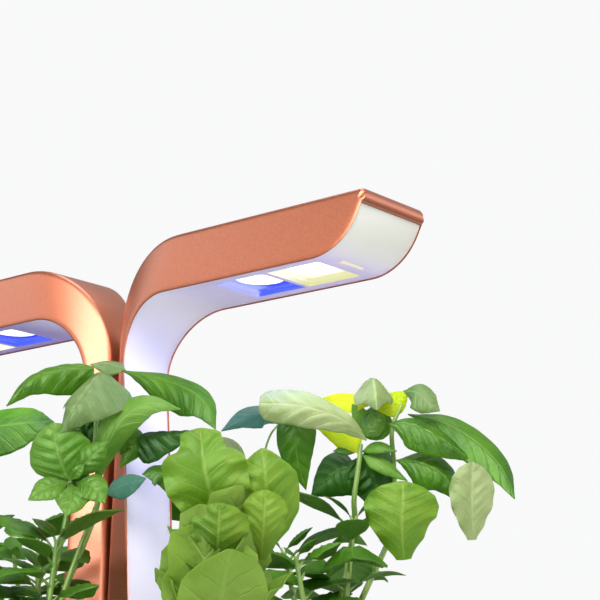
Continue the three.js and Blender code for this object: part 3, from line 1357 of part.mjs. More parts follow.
// Lettuce: a rosette of broad leaves in a spiral, upright inside and spreading outside.
const LETTUCE_LEAF_COUNT = 12;
const LETTUCE_SPIRAL_ANGLE = THREE.MathUtils.degToRad(137.5);
const LETTUCE_RISE_OUTSIDE_ANGLE = 1.3;
const LETTUCE_RISE_INSIDE_ANGLE = 1.56;
const LETTUCE_DROOP_ANGLE = 0.45;
const LETTUCE_FOLD_ANGLE = 0.35;
const LETTUCE_OUTER_SHARE = 0.74;
const LETTUCE_LOW_SHARE = 0.3;
const LETTUCE_HIGH_SHARE = 0.8;
const lettuceFoliage = { length: LETTUCE_LEAF, width: LETTUCE_WIDTH, widthShares: lettuceWidthShares };

function lettucePlant(plant, centre) {
  const crownTop = centre.clone().add(vector(0, 0, CROWN_HEIGHT));
  const crown = rod([centre, crownTop], [CROWN_RADIUS, STEM_RADIUS], STEM_SIDES);
  const between = THREE.MathUtils.lerp;
  const leaves = Array.from({ length: LETTUCE_LEAF_COUNT }, (_, i) => {
    const share = i / (LETTUCE_LEAF_COUNT - 1);
    return {
      base: centre.clone().lerp(crownTop, between(LETTUCE_LOW_SHARE, LETTUCE_HIGH_SHARE, share)),
      start: STEM_RADIUS * LEAF_ROOT_SHARE,
      azimuth: plant.turn + i * LETTUCE_SPIRAL_ANGLE,
      length: (PLANT_CEILING - centre.z) * plant.fillShare * between(LETTUCE_OUTER_SHARE, 1, share),
      width: LETTUCE_WIDTH * between(LETTUCE_OUTER_SHARE, 1, share),
      rise: between(LETTUCE_RISE_OUTSIDE_ANGLE, LETTUCE_RISE_INSIDE_ANGLE, share),
      droop: LETTUCE_DROOP_ANGLE,
      twist: 0,
      fold: LETTUCE_FOLD_ANGLE,
      widthShares: lettuceWidthShares,
    };
  });
  return [
    crown,
    ...leaves.flatMap((leaf) => growLeaf(leaf, plant.cell)),
    ...tallGrowth(plant, centre, lettuceFoliage),
  ];
}

const LEG_CLEAR_Y = LEG_FRONT_HALF_WIDTH + PLANT_FROM_LEG;
const PLANT_CEILING = ARM_UNDERSIDE - POD_LIFT - PLANT_GAP;
const PLANT_SPREAD_X = ARM_REACH - PLANT_FROM_ARM_TIP;
const PLANT_SPREAD_Y = TANK_DEPTH / 2 + PLANT_OVERHANG;
const PLANT_SPLIT = POD_PITCH / 2;
const PLANT_SPLIT_FRONT = PLANT_SPLIT + PLANT_SPLIT_SHIFT;
const rowCells = {
  front: { minY: -PLANT_SPREAD_Y, side: { maxY: -PLANT_GAP }, centre: { maxY: -LEG_CLEAR_Y } },
  rear: { maxY: PLANT_SPREAD_Y, side: { minY: PLANT_GAP }, centre: { minY: LEG_CLEAR_Y } },
};
const columnCells = {
  front_left: { minX: -PLANT_SPREAD_X, maxX: -PLANT_SPLIT - PLANT_GAP },
  front_centre: { minX: -PLANT_SPLIT + PLANT_GAP, maxX: PLANT_SPLIT_FRONT - PLANT_GAP },
  front_right: { minX: PLANT_SPLIT_FRONT + PLANT_GAP, maxX: PLANT_SPREAD_X },
  rear_left: { minX: -PLANT_SPREAD_X, maxX: -PLANT_SPLIT - PLANT_GAP },
  rear_centre: { minX: -PLANT_SPLIT + PLANT_GAP, maxX: PLANT_SPLIT - PLANT_GAP },
  rear_right: { minX: PLANT_SPLIT + PLANT_GAP, maxX: PLANT_SPREAD_X },
};
const plantKinds = {
  front_left: { grow: basilPlant, finish: basilLeaf, fillShare: 0.5, turn: 0.4 },
  front_centre: { grow: basilPlant, finish: basilLeaf, fillShare: 0.46, turn: 0.2 },
  front_right: { grow: lettucePlant, finish: lettuceLeaf, fillShare: 0.55, turn: 0.9 },
  rear_left: { grow: basilPlant, finish: basilLeaf, fillShare: 0.55, turn: 2.9 },
  rear_centre: { grow: basilPlant, finish: basilLeaf, fillShare: 0.58, turn: 1.4 },
  rear_right: { grow: basilPlant, finish: basilLeaf, fillShare: 0.53, turn: 0.7 },
};

function plantCell(name) {
  const [row, column] = name.split("_");
  const { side, centre, ...rowCell } = rowCells[row];
  return { ...columnCells[name], ...rowCell, ...(column === "centre" ? centre : side) };
}

function podPlant({ name, x, y }) {
  const kind = plantKinds[name];
  const root = vector(x, y, CUP_RIM - PLUG_NECK);
  const plugBottom = CUP_BOTTOM + POD_WALL + RUNNING_GAP;
  const plugGap = POD_WALL + PLUG_CLEARANCE;
  const plug = turned(
    [
      [0, plugBottom],
      [cupRadius(plugBottom) - plugGap, plugBottom],
      [cupRadius(CUP_RIM) - plugGap, CUP_RIM],
      [0, CUP_RIM],
    ],
    false,
    POD_SIDES,
  ).translate([x, y, 0]);
  const grown = kind.grow({ name, cell: plantCell(name), turn: kind.turn, fillShare: kind.fillShare }, root);
  return join([plug, ...grown]);
}

// The garden
const garden = new THREE.Group();
garden.name = "countertop_hydroponic_garden";
garden.add(
  part("outer_shell", outerShell(), copperPaint),
  part("base_plate", basePlate(), darkPlastic),
  part("water_tank", waterTank(), liner),
  part("deck", deck(), whitePlastic),
  part("mast_collar", mastCollar(), whitePlastic),
  part("post_bracket", postBracket(), darkPlastic),
  part("leg_base", legBase(), copperPaint),
  part("lift_post_left", liftPost(-1), postMetal),
  part("lift_post_right", liftPost(1), postMetal),
  part("fill_lid", fillLid(), whitePlastic),
  part("level_float", floatBody().translate([FLOAT_CENTRE, 0, 0]), reflectorPlastic),
  part("power_button", powerButton().translate([BUTTON_PLACE_X, BUTTON_PLACE_Y, 0]), whitePlastic),
  part("button_spring", buttonSpring().translate([BUTTON_PLACE_X, BUTTON_PLACE_Y, 0]), springSteel),
  part("pump_body", pumpBody().translate([PUMP_PLACE, 0, 0]), darkPlastic),
  part("pump_impeller", pumpImpeller().translate([PUMP_PLACE, 0, 0]), whitePlastic),
  part("pump_cover", pumpCover().translate([PUMP_PLACE, 0, 0]), darkPlastic),
  part("control_board", controlBoard(), circuitGreen),
  part("power_inlet", powerInlet(), cableBlack),
  buildArm("right"),
  buildArm("left"),
);
for (const [name, x, y] of footPlaces) {
  garden.add(part(`foot_${name}`, foot().translate([x, y, 0]), rubber));
}
for (const place of podPlaces) {
  const { name, x, y } = place;
  garden.add(
    part(`pod_cup_${name}`, podCup().translate([x, y, 0]), podPlastic),
    part(`pod_collar_${name}`, podCollar().translate([x, y, 0]), whitePlastic),
    part(`plant_${name}`, podPlant(place), plantKinds[name].finish),
  );
}

export default garden;
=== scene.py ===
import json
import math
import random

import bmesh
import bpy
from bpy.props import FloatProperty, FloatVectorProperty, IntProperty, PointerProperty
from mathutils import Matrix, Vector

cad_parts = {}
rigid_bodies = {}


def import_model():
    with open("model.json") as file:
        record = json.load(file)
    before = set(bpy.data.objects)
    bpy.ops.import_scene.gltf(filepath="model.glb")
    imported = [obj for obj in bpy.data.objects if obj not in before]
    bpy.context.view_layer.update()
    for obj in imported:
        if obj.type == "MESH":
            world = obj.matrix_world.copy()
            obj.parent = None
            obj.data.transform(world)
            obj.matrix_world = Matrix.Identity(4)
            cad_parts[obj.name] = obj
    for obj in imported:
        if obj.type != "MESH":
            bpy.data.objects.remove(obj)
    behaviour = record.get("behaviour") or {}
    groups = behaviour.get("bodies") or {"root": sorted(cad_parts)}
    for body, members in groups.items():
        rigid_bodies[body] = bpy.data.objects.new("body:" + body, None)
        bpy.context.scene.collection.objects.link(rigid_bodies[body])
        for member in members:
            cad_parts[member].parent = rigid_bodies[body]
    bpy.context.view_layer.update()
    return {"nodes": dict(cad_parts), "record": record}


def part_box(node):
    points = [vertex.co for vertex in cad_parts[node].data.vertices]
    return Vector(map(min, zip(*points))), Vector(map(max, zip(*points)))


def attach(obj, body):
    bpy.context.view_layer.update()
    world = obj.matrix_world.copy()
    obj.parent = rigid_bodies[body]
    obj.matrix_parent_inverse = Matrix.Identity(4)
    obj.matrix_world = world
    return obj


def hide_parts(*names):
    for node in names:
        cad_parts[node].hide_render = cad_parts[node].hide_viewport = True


bl_info = {
    "name": "Countertop Hydroponic Garden",
    "version": (1, 0, 0),
    "blender": (4, 5, 0),
    "location": "View3D > Sidebar > Herb Garden",
    "description": "Dresses the packed garden in finished shells, lamps, deck fittings and grown herbs",
    "category": "Object",
}

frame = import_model()

BODY_OF = {node: body for body, nodes in frame["record"]["behaviour"]["bodies"].items() for node in nodes}
SIDES = ("right", "left")
POD_NAMES = ("front_left", "front_centre", "front_right", "rear_left", "rear_centre", "rear_right")
FOOT_NAMES = ("front_left", "front_right", "rear_left", "rear_right")
MM = 0.001
QUARTER = math.pi / 2
FULL = 2 * math.pi
# The turn from one leaf to the next on a crown.
SPIRAL = math.radians(137.5)
# In millimetres: points nearer than this are one, the gap between fitted pieces, how far a cutting
# tool reaches past what it cuts, and the radius at which a turned profile starts at its axis.
DOUBLE = 0.002
GAP = 0.3
TOOL_REACH = 2
AXIS = 0.01
# A rounded corner uses at most one part in this many of each side that meets there.
CORNER_PART = 2.2


def low(node):
    """The lowest corner of a node, in millimetres."""
    return Vector(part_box(node)[0]) / MM


def high(node):
    """The highest corner of a node, in millimetres."""
    return Vector(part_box(node)[1]) / MM


def mid(node):
    """The middle of a node's box, in millimetres."""
    return (low(node) + high(node)) / 2


def between(a, b, share):
    return a + (b - a) * share


def smooth(start, end, value):
    share = min(max((value - start) / (end - start), 0), 1)
    return share * share * (3 - 2 * share)


def new_object(name, data):
    obj = bpy.data.objects.new(name, data)
    bpy.context.scene.collection.objects.link(obj)
    return obj


# Meshes: points are in millimetres here, and become metres in the mesh.
def piece(name, points, faces, uvs=None, clean=True):
    """A new object from points and faces, with doubles merged and faces turned outwards."""
    mesh = bpy.data.meshes.new(name)
    mesh.from_pydata([tuple(c * MM for c in point) for point in points], [], faces)
    if uvs is not None:
        layer = mesh.uv_layers.new(name="UVMap")
        for loop in mesh.loops:
            layer.data[loop.index].uv = uvs[loop.vertex_index]
    if clean:
        settle(mesh)
    return new_object(name, mesh)


def settle(mesh):
    """Merges doubles, drops faces without area and turns the rest outwards."""
    work = bmesh.new()
    work.from_mesh(mesh)
    bmesh.ops.remove_doubles(work, verts=work.verts, dist=DOUBLE * MM)
    bmesh.ops.dissolve_degenerate(work, edges=work.edges, dist=DOUBLE * MM)
    bmesh.ops.recalc_face_normals(work, faces=work.faces)
    work.to_mesh(mesh)
    work.free()


def skin(rings, closed=False):
    """Points and faces over rings of equally many points, closed on themselves or by end faces."""
    levels, count = len(rings), len(rings[0])
    faces = []
    for level in range(levels if closed else levels - 1):
        above = (level + 1) % levels
        for i in range(count):
            j = (i + 1) % count
            faces.append((level * count + i, level * count + j, above * count + j, above * count + i))
    if not closed:
        faces.append(tuple(reversed(range(count))))
        faces.append(tuple(range((levels - 1) * count, levels * count)))
    return [point for ring in rings for point in ring], faces


def loft(name, rings, closed=False):
    return piece(name, *skin(rings, closed))


def turned(name, profile, centre, sides=64, closed=False):
    """A profile of (radius, height) pairs turned about an upright axis."""
    turns = [FULL * k / sides for k in range(sides)]
    rings = [
        [(centre[0] + radius * math.cos(turn), centre[1] + radius * math.sin(turn), z) for turn in turns]
        for radius, z in profile
    ]
    return loft(name, rings, closed)


def rounded_profile(corners, radius, steps=4):
    """Corners of a side view with each inner one rounded by a small arc."""
    result = [corners[0]]
    for before, corner, after in zip(corners, corners[1:], corners[2:]):
        a, b, c = Vector(before), Vector(corner), Vector(after)
        reach = min(radius, (a - b).length / CORNER_PART, (c - b).length / CORNER_PART)
        start = b + (a - b).normalized() * reach
        end = b + (c - b).normalized() * reach
        for k in range(steps + 1):
            t = k / steps
            result.append(tuple(start * (1 - t) ** 2 + b * 2 * t * (1 - t) + end * t ** 2))
    result.append(corners[-1])
    return result


def rounded_outline(half_x, half_y, radius, steps=10, centre=(0, 0)):
    """A rectangle with rounded corners, anticlockwise seen from above."""
    points = []
    for corner, (side_x, side_y) in enumerate(((1, -1), (1, 1), (-1, 1), (-1, -1))):
        for step in range(steps + 1):
            angle = (corner - 1 + step / steps) * QUARTER
            points.append((
                centre[0] + side_x * (half_x - radius) + radius * math.cos(angle),
                centre[1] + side_y * (half_y - radius) + radius * math.sin(angle),
            ))
    return points


def raised(outline, z):
    return [(x, y, z) for x, y in outline]


def freeze(obj):
    """Turns the evaluated object into a plain mesh and removes its modifiers."""
    depsgraph = bpy.context.evaluated_depsgraph_get()
    depsgraph.update()
    mesh = bpy.data.meshes.new_from_object(obj.evaluated_get(depsgraph))
    obj.modifiers.clear()
    obj.data = mesh
    return obj


def carve(obj, *tools):
    """Cuts each tool out of the piece and removes the tool."""
    for tool in tools:
        step = obj.modifiers.new("cut", "BOOLEAN")
        step.operation = "DIFFERENCE"
        step.solver = "EXACT"
        step.object = tool
    freeze(obj)
    for tool in tools:
        bpy.data.objects.remove(tool, do_unlink=True)
    return obj


def ease(obj, width, angle=0.6, segments=2):
    """A small bevel along the sharp edges."""
    step = obj.modifiers.new("ease", "BEVEL")
    step.width = width * MM
    step.segments = segments
    step.limit_method = "ANGLE"
    step.angle_limit = angle
    step.use_clamp_overlap = True
    return freeze(obj)


def fuse(name, pieces):
    """Joins pieces into one object of several closed shells."""
    work = bmesh.new()
    for item in pieces:
        work.from_mesh(item.data)
    mesh = bpy.data.meshes.new(name)
    work.to_mesh(mesh)
    work.free()
    for item in pieces:
        bpy.data.objects.remove(item, do_unlink=True)
    return new_object(name, mesh)


def dress(obj, finish, body, sharp=0.6):
    """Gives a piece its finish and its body."""
    obj.data.materials.clear()
    obj.data.materials.append(finish)
    obj.data.shade_smooth()
    obj.data.set_sharp_from_angle(angle=sharp)
    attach(obj, body)


def stand_for(node, obj, finish, sharp=0.6):
    """Dresses a piece that takes a node's place, with the body of that node."""
    dress(obj, finish, BODY_OF[node], sharp)
    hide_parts(node)


def coat(finish, *nodes):
    """Gives nodes of the frame their finish."""
    for node in nodes:
        for place in frame["nodes"][node].material_slots:
            place.material = finish


def rod(points, radii, sides=8):
    """Rings along a path, for a stem, a pin or a bore."""
    turns = [FULL * k / sides for k in range(sides)]
    rings = []
    for i, point in enumerate(points):
        before = Vector(points[max(i - 1, 0)])
        after = Vector(points[min(i + 1, len(points) - 1)])
        along = (after - before).normalized()
        guide = Vector((1, 0, 0)) if abs(along.x) < 0.7 else Vector((0, 1, 0))
        side = guide.cross(along).normalized()
        up = along.cross(side)
        rings.append([
            tuple(Vector(point) + side * radii[i] * math.cos(turn) + up * radii[i] * math.sin(turn))
            for turn in turns
        ])
    return rings


# Finishes
def tone(red, green, blue):
    """A colour as it looks on a screen, from 0 to 255, as the shader wants it."""
    def linear(value):
        share = value / 255
        return share / 12.92 if share <= 0.04045 else ((share + 0.055) / 1.055) ** 2.4
    return (linear(red), linear(green), linear(blue), 1)


def add_node(tree, kind, settings=None, sockets=None):
    """Adds any node to a tree: its settings first, then the values or wires of its sockets."""
    node = tree.nodes.new(kind)
    for key, value in (settings or {}).items():
        setattr(node, key, value)
    for key, value in (sockets or {}).items():
        if isinstance(value, bpy.types.NodeSocket):
            tree.links.new(value, node.inputs[key])
        else:
            node.inputs[key].default_value = value
    return node


class Wire:
    """A value in a finish that takes part in sums and products."""

    def __init__(self, finish, socket):
        self.finish = finish
        self.socket = socket

    def _maths(self, operation, *values):
        return self.finish.add("ShaderNodeMath", {"operation": operation}, dict(enumerate(values)))

    def __add__(self, other):
        return self._maths("ADD", self, other)

    __radd__ = __add__

    def __mul__(self, other):
        return self._maths("MULTIPLY", self, other)

    __rmul__ = __mul__

    def __sub__(self, other):
        return self._maths("SUBTRACT", self, other)

    def __rsub__(self, other):
        return self._maths("SUBTRACT", other, self)

    def __truediv__(self, other):
        return self._maths("DIVIDE", self, other)

    def __pow__(self, other):
        return self._maths("POWER", self, other)

    def __abs__(self):
        return self._maths("ABSOLUTE", self)

    def larger(self, other):
        return self._maths("MAXIMUM", self, other)

    def sine(self):
        return self._maths("SINE", self)

    def sign(self):
        return self._maths("SIGN", self)

    def fraction(self):
        return self._maths("FRACT", self)

    def step(self, start, end):
        """0 below start and 1 above end, with a smooth change between."""
        settings = {"interpolation_type": "SMOOTHSTEP"}
        return self.finish.add("ShaderNodeMapRange", settings, {0: self, 1: start, 2: end, 3: 0.0, 4: 1.0})


class Finish:
    """A material that is built node by node."""

    def __init__(self, name):
        self.material = bpy.data.materials.new(name)
        self.material.use_nodes = True
        self.tree = self.material.node_tree
        self.tree.nodes.clear()

    def add(self, kind, settings=None, sockets=None, output=0):
        """Adds a node whose sockets take plain values or wires, and gives one of its outputs."""
        bare = {key: getattr(value, "socket", value) for key, value in (sockets or {}).items()}
        return Wire(self, add_node(self.tree, kind, settings, bare).outputs[output])

    def place(self):
        return self.add("ShaderNodeTexCoord", output="Object")

    def across(self):
        return self.add("ShaderNodeUVMap", {"uv_map": "UVMap"})

    def split(self, vector):
        node = add_node(self.tree, "ShaderNodeSeparateXYZ", None, {0: vector.socket})
        return [Wire(self, output) for output in node.outputs]

    def stretched(self, along):
        """The place in the object, drawn out along Z."""
        return self.add("ShaderNodeMapping", None, {"Vector": self.place(), "Scale": (1.0, 1.0, along)})

    def noise(self, scale, detail=2.0, rough=0.5, vector=None):
        sockets = {"Vector": vector or self.place(), "Scale": scale, "Detail": detail, "Roughness": rough}
        return self.add("ShaderNodeTexNoise", None, sockets)

    def cells(self, scale, feature="F1"):
        sockets = {"Vector": self.place(), "Scale": scale}
        return self.add("ShaderNodeTexVoronoi", {"feature": feature}, sockets)

    def mix(self, factor, first, second):
        return self.add("ShaderNodeMix", {"data_type": "RGBA"}, {0: factor, 6: first, 7: second}, output=2)

    def bump(self, height, strength, distance):
        sockets = {"Strength": strength, "Distance": distance * MM, "Height": height}
        return self.add("ShaderNodeBump", None, sockets)

    def surface(self, **sockets):
        named = {key.replace("_", " "): value for key, value in sockets.items()}
        return self.add("ShaderNodeBsdfPrincipled", None, named)

    def close(self, shader):
        add_node(self.tree, "ShaderNodeOutputMaterial", None, {"Surface": shader.socket})
        return self.material


def copper_paint():
    """Satin copper over metal, with a fine flake that also breaks up the shine, and painted glints."""
    f = Finish("copper_satin")
    flake = f.noise(1500.0, 3.0, 0.7)
    cloud = f.noise(18.0, 2.0, 0.5)
    fleck = f.cells(1300.0)
    # Painted glints: pale copper flecks mixed into the colour.
    painted_glint = fleck.step(0.28, 0.05)
    dark = f.mix(flake.step(0.3, 0.72), tone(148, 78, 46), tone(178, 98, 62))
    colour = f.mix(cloud * 0.4, dark, tone(162, 86, 52))
    colour = f.mix(painted_glint * 0.1, colour, tone(236, 178, 146))
    shader = f.surface(
        Base_Color=colour,
        Metallic=0.8,
        Roughness=0.34 + flake * 0.14,
        Coat_Weight=0.75 + flake * 0.1,
        Coat_Roughness=0.32,
        Normal=f.bump(flake, 0.18, 0.05),
    )
    return f.close(shader)


BLACK = (0.0, 0.0, 0.0, 1.0)
# Painted light: the pale blue and deep blue glow of the blue pockets, on the side of the crescent and away
# from it.
CRESCENT_GLOW = (tone(176, 180, 255), tone(70, 96, 255))
# How far the crescent's edge lies in from a window's edge, in millimetres: where it starts and ends.
CRESCENT_EDGE = (1.2, 2.8)


def arm_white(lamp):
    """Satin white of the arms' inner faces, with painted lamp light: a lavender tint next to the lamps and a
    painted glow on the windows' cut edges.
    """
    f = Finish("arm_panel_satin")
    x, y, z = f.split(f.place())
    along = abs(x) / MM
    over = y * x.sign() / MM
    height = z / MM
    grain = f.noise(900.0, 2.0, 0.6)
    # Painted light: a lavender tint next to the lamps, more purple on the left arm.
    painted_lamp_light = along.step(28.0, 95.0) * along.step(212.0, 178.0)
    leg = height.step(325.0, 285.0)
    tip = along.step(180.0, 207.0)
    painted_lamp_tint = f.mix((x / MM).step(10.0, -10.0), tone(208, 196, 238), tone(166, 146, 216))
    colour = f.mix(painted_lamp_light, tone(241, 234, 250), painted_lamp_tint)
    # Whiter down the leg, and greyer towards the tip.
    colour = f.mix(leg, colour, tone(240, 236, 250))
    colour = f.mix(tip, colour, tone(216, 218, 208))
    # Painted light: the cut edges of the windows take the pockets' light as a glow, and their own colour
    # there is nearly black.
    half = lamp.half + 0.15
    in_blue, in_warm = [
        abs(along - centre).larger(abs(over)).step(half + 0.02, half - 0.02)
        for centre in (lamp.blue, lamp.warm)
    ]
    blue = f.mix((along - lamp.blue).step(*[edge - half for edge in CRESCENT_EDGE]), *CRESCENT_GLOW)
    warm = f.mix(over.step(-6.0, 16.0), tone(255, 253, 236), tone(226, 226, 160))
    glow = f.mix(in_warm, f.mix(in_blue, BLACK, blue), warm)
    colour = f.mix(in_blue.larger(in_warm), colour, (0.02, 0.02, 0.02, 1.0))
    shader = f.surface(
        Base_Color=colour,
        Roughness=0.42 + grain * 0.08,
        Emission_Color=glow,
        Emission_Strength=0.95,
        Normal=f.bump(grain, 0.05, 0.03),
    )
    return f.close(shader)


def lit_pockets(lamp):
    """Painted light on the insides of the lamp pockets: a blue glow in the inner one and a warm white glow
    in the outer one.
    """
    f = Finish("lit_reflector")
    x, y, z = f.split(f.place())
    along = abs(x) / MM
    over = y * x.sign() / MM
    height = z / MM
    half = lamp.half
    from_blue = ((along - lamp.blue) ** 2.0 + over ** 2.0) ** 0.5
    from_warm = ((along - lamp.warm) ** 2.0 + over ** 2.0) ** 0.5
    ceiling = height.step(lamp.ceiling - 0.9, lamp.ceiling - 0.1)
    edge = (along - lamp.blue).step(*[edge - half for edge in CRESCENT_EDGE])
    # Painted light: the walls and ceilings glow blue and warm white, paler at the crescent and round the
    # warm disc, yellower on the far side.
    blue_wall_glow = f.mix(edge, CRESCENT_GLOW[0], tone(64, 92, 255))
    rim = from_blue.step(lamp.emitter + 2.5, lamp.emitter + 7.0)
    blue_ceiling_glow = f.mix(rim, tone(4, 26, 240), tone(36, 68, 255))
    inner_side = (along - lamp.blue).step(-half * 0.95, -half * 0.3)
    blue_ceiling_glow = f.mix(inner_side, tone(150, 165, 255), blue_ceiling_glow)
    blue = f.mix(ceiling, blue_wall_glow, blue_ceiling_glow)
    far_side = over.step(half * 0.55, half * 0.95)
    warm_wall_glow = f.mix(far_side, tone(255, 252, 232), tone(232, 230, 172))
    round_disc = from_warm.step(lamp.emitter, lamp.emitter + 6.0)
    warm_ceiling_glow = f.mix(round_disc, tone(255, 255, 252), tone(255, 251, 228))
    warm = f.mix(ceiling, warm_wall_glow, warm_ceiling_glow)
    outer = along.step(lamp.bridge - 0.1, lamp.bridge + 0.1)
    glow = f.mix(outer, blue, warm)
    shader = f.surface(
        Base_Color=(0.03, 0.03, 0.03, 1.0),
        Roughness=0.35,
        Emission_Color=glow,
        Emission_Strength=1.0,
    )
    return f.close(shader)


def emitter(name, core, edge, strength):
    """A lit disc, in places a little nearer to the tone of its edge."""
    f = Finish(name)
    haze = f.noise(220.0, 2.0, 0.5)
    colour = f.mix(haze.step(0.2, 0.5), edge, core)
    shader = f.surface(
        Base_Color=(0.05, 0.05, 0.05, 1.0),
        Roughness=0.3,
        Emission_Color=colour,
        Emission_Strength=strength,
    )
    return f.close(shader)


def clear_pane():
    """A pane so clear that it only dims the pockets a little."""
    f = Finish("clear_pane")
    haze = f.noise(60.0, 2.0, 0.5)
    shader = f.surface(
        Base_Color=tone(250, 252, 255),
        Roughness=0.06 + haze * 0.05,
        Alpha=0.02 + haze * 0.03,
        IOR=1.45,
    )
    return f.close(shader)


def lens():
    f = Finish("sensor_lens")
    haze = f.noise(300.0, 2.0, 0.5)
    colour = f.mix(haze, tone(238, 228, 206), tone(246, 238, 220))
    # Painted light: a faint warm glow that makes the lens look lit.
    shader = f.surface(
        Base_Color=colour,
        Roughness=0.35 + haze * 0.1,
        Emission_Color=tone(120, 112, 92),
        Emission_Strength=0.25,
    )
    return f.close(shader)


def dimmed(colour, share):
    return (*(part * share for part in colour[:3]), 1.0)


def moulded(name, colour, rough=0.45, grain=0.12, scale=700.0, coat_weight=0.0):
    """Moulded plastic: one tone with a slight drift and a fine grain."""
    f = Finish(name)
    texture = f.noise(scale, 3.0, 0.6)
    drift = f.noise(9.0, 2.0, 0.5)
    shader = f.surface(
        Base_Color=f.mix(drift.step(0.35, 0.7) * 0.6, colour, dimmed(colour, 0.9)),
        Roughness=rough + texture * 0.12,
        Coat_Weight=coat_weight,
        Normal=f.bump(texture, grain, 0.05),
    )
    return f.close(shader)


def brushed(name, colour, rough=0.32):
    """Drawn metal: fine lines along Z."""
    f = Finish(name)
    lines = f.noise(1800.0, 3.0, 0.6, f.stretched(0.03))
    shader = f.surface(
        Base_Color=f.mix(lines.step(0.3, 0.7), dimmed(colour, 0.8), colour),
        Metallic=1.0,
        Roughness=rough + lines * 0.14,
        Normal=f.bump(lines, 0.12, 0.02),
    )
    return f.close(shader)


def board_green():
    """Solder mask with tracks and pads."""
    f = Finish("circuit_board")
    x, y, z = f.split(f.place())
    tracks_across = (x * (FULL / (3.0 * MM))).sine().step(0.86, 0.95)
    tracks_along = (y * (FULL / (4.0 * MM))).sine().step(0.9, 0.97)
    tracks = tracks_across.larger(tracks_along)
    pads = f.cells(260.0).step(0.16, 0.1)
    colour = f.mix(tracks * 0.6, tone(24, 84, 52), tone(44, 122, 74))
    colour = f.mix(pads, colour, tone(204, 176, 110))
    shader = f.surface(Base_Color=colour, Metallic=pads * 0.8, Roughness=0.4 + tracks * 0.1)
    return f.close(shader)


def rubber():
    f = Finish("foot_rubber")
    skin = f.noise(1100.0, 3.0, 0.7)
    colour = f.mix(skin, tone(34, 34, 36), tone(52, 52, 54))
    return f.close(f.surface(Base_Color=colour, Roughness=0.8 + skin * 0.12, Normal=f.bump(skin, 0.3, 0.06)))


def grow_sponge():
    """The dark plug that holds the roots: coarse, with pale fibres."""
    f = Finish("grow_sponge")
    lumps = f.noise(420.0, 4.0, 0.7)
    fibre = f.cells(900.0).step(0.3, 0.05)
    colour = f.mix(lumps.step(0.35, 0.65), tone(44, 32, 24), tone(92, 70, 50))
    colour = f.mix(fibre * 0.5, colour, tone(150, 124, 92))
    return f.close(f.surface(Base_Color=colour, Roughness=0.95, Normal=f.bump(lumps, 0.8, 0.6)))


def leaf_blade(name, top, deep, vein, under, veins, slant, gloss, through):
    """A leaf: veins that branch from the rib, a paler underside and light that shines through."""
    f = Finish(name)
    u, v, _ = f.split(f.across())
    below = u.step(1.4, 1.6)
    side = abs(u - below * 2 - 0.5) * 2
    rib = side.step(0.075, 0.015)
    wander = f.noise(70.0, 2.0, 0.5) * 0.06
    ladder = ((v - side * slant * (1.2 - v) + wander) * veins).fraction()
    branch = abs(ladder - 0.5).step(0.085, 0.02) * side.step(1.02, 0.75)
    net = f.cells(260.0, feature="DISTANCE_TO_EDGE").step(0.045, 0.01)
    patch = f.noise(34.0, 3.0, 0.55)
    colour = f.mix(patch.step(0.3, 0.7), deep, top)
    colour = f.mix(net * 0.08, colour, vein)
    colour = f.mix(branch * 0.2, colour, vein)
    colour = f.mix(rib * 0.5, colour, vein)
    colour = f.mix(below * 0.7, colour, under)
    pucker = f.noise(150.0, 2.0, 0.5)
    relief = (1 - branch) * 0.6 + (1 - net) * 0.12 + (1 - rib) * 0.5 + pucker * 1.6
    body = f.surface(
        Base_Color=colour,
        Roughness=gloss + patch * 0.12,
        Normal=f.bump(relief, 0.6, 0.8),
        Specular_IOR_Level=0.42,
    )
    glow = f.add("ShaderNodeBsdfTranslucent", None, {"Color": f.mix(0.5, colour, through)})
    shader = f.add("ShaderNodeMixShader", None, {0: 0.34, 1: body, 2: glow})
    return f.close(shader)


def stem_green(name, light, dark):
    f = Finish(name)
    streak = f.noise(120.0, 3.0, 0.6, f.stretched(0.1))
    colour = f.mix(streak.step(0.35, 0.7), light, dark)
    return f.close(f.surface(Base_Color=colour, Roughness=0.45, Normal=f.bump(streak, 0.2, 0.15)))


# Kinds of leaf: pairs of veins, their slant and the leaf's roughness, then the tones of its top, its
# darker patches, its veins, its underside and of the light that shines through. The tops of basil
# and lettuce are colours that a user would change. Some kinds are basil with painted light: dark is
# painted shade for leaves in shadow, pale and cream carry a painted sheen, lit is painted light
# shining through from behind, and teal is the blue lamp's light painted on.
LEAF_KINDS = {
    "basil": (6.0, 0.42, 0.34, None, (54, 108, 8), (120, 162, 50), (108, 150, 60), (130, 190, 0)),
    "dark": (6.0, 0.42, 0.4, (50, 106, 14), (28, 78, 8), (76, 126, 34), (62, 112, 34), (80, 140, 0)),
    "fresh": (
        6.0, 0.42, 0.36, (122, 170, 64), (92, 146, 40), (152, 190, 98), (134, 176, 86), (160, 210, 30),
    ),
    "pale": (
        5.0, 0.42, 0.38, (132, 160, 98), (100, 136, 70), (164, 186, 126), (146, 170, 112), (165, 195, 90),
    ),
    "cream": (
        5.0, 0.42, 0.38, (170, 184, 130), (138, 162, 98), (194, 206, 156), (168, 184, 128), (200, 220, 110),
    ),
    "lit": (7.0, 0.42, 0.4, (212, 222, 0), (178, 208, 0), (226, 230, 40), (200, 214, 20), (255, 250, 0)),
    "teal": (
        7.0, 0.42, 0.34, (104, 162, 140), (76, 136, 116), (136, 184, 160), (110, 160, 140), (90, 170, 120),
    ),
    "lettuce": (6.0, 0.5, 0.4, None, (100, 146, 30), (172, 200, 96), (150, 186, 76), (190, 225, 20)),
}


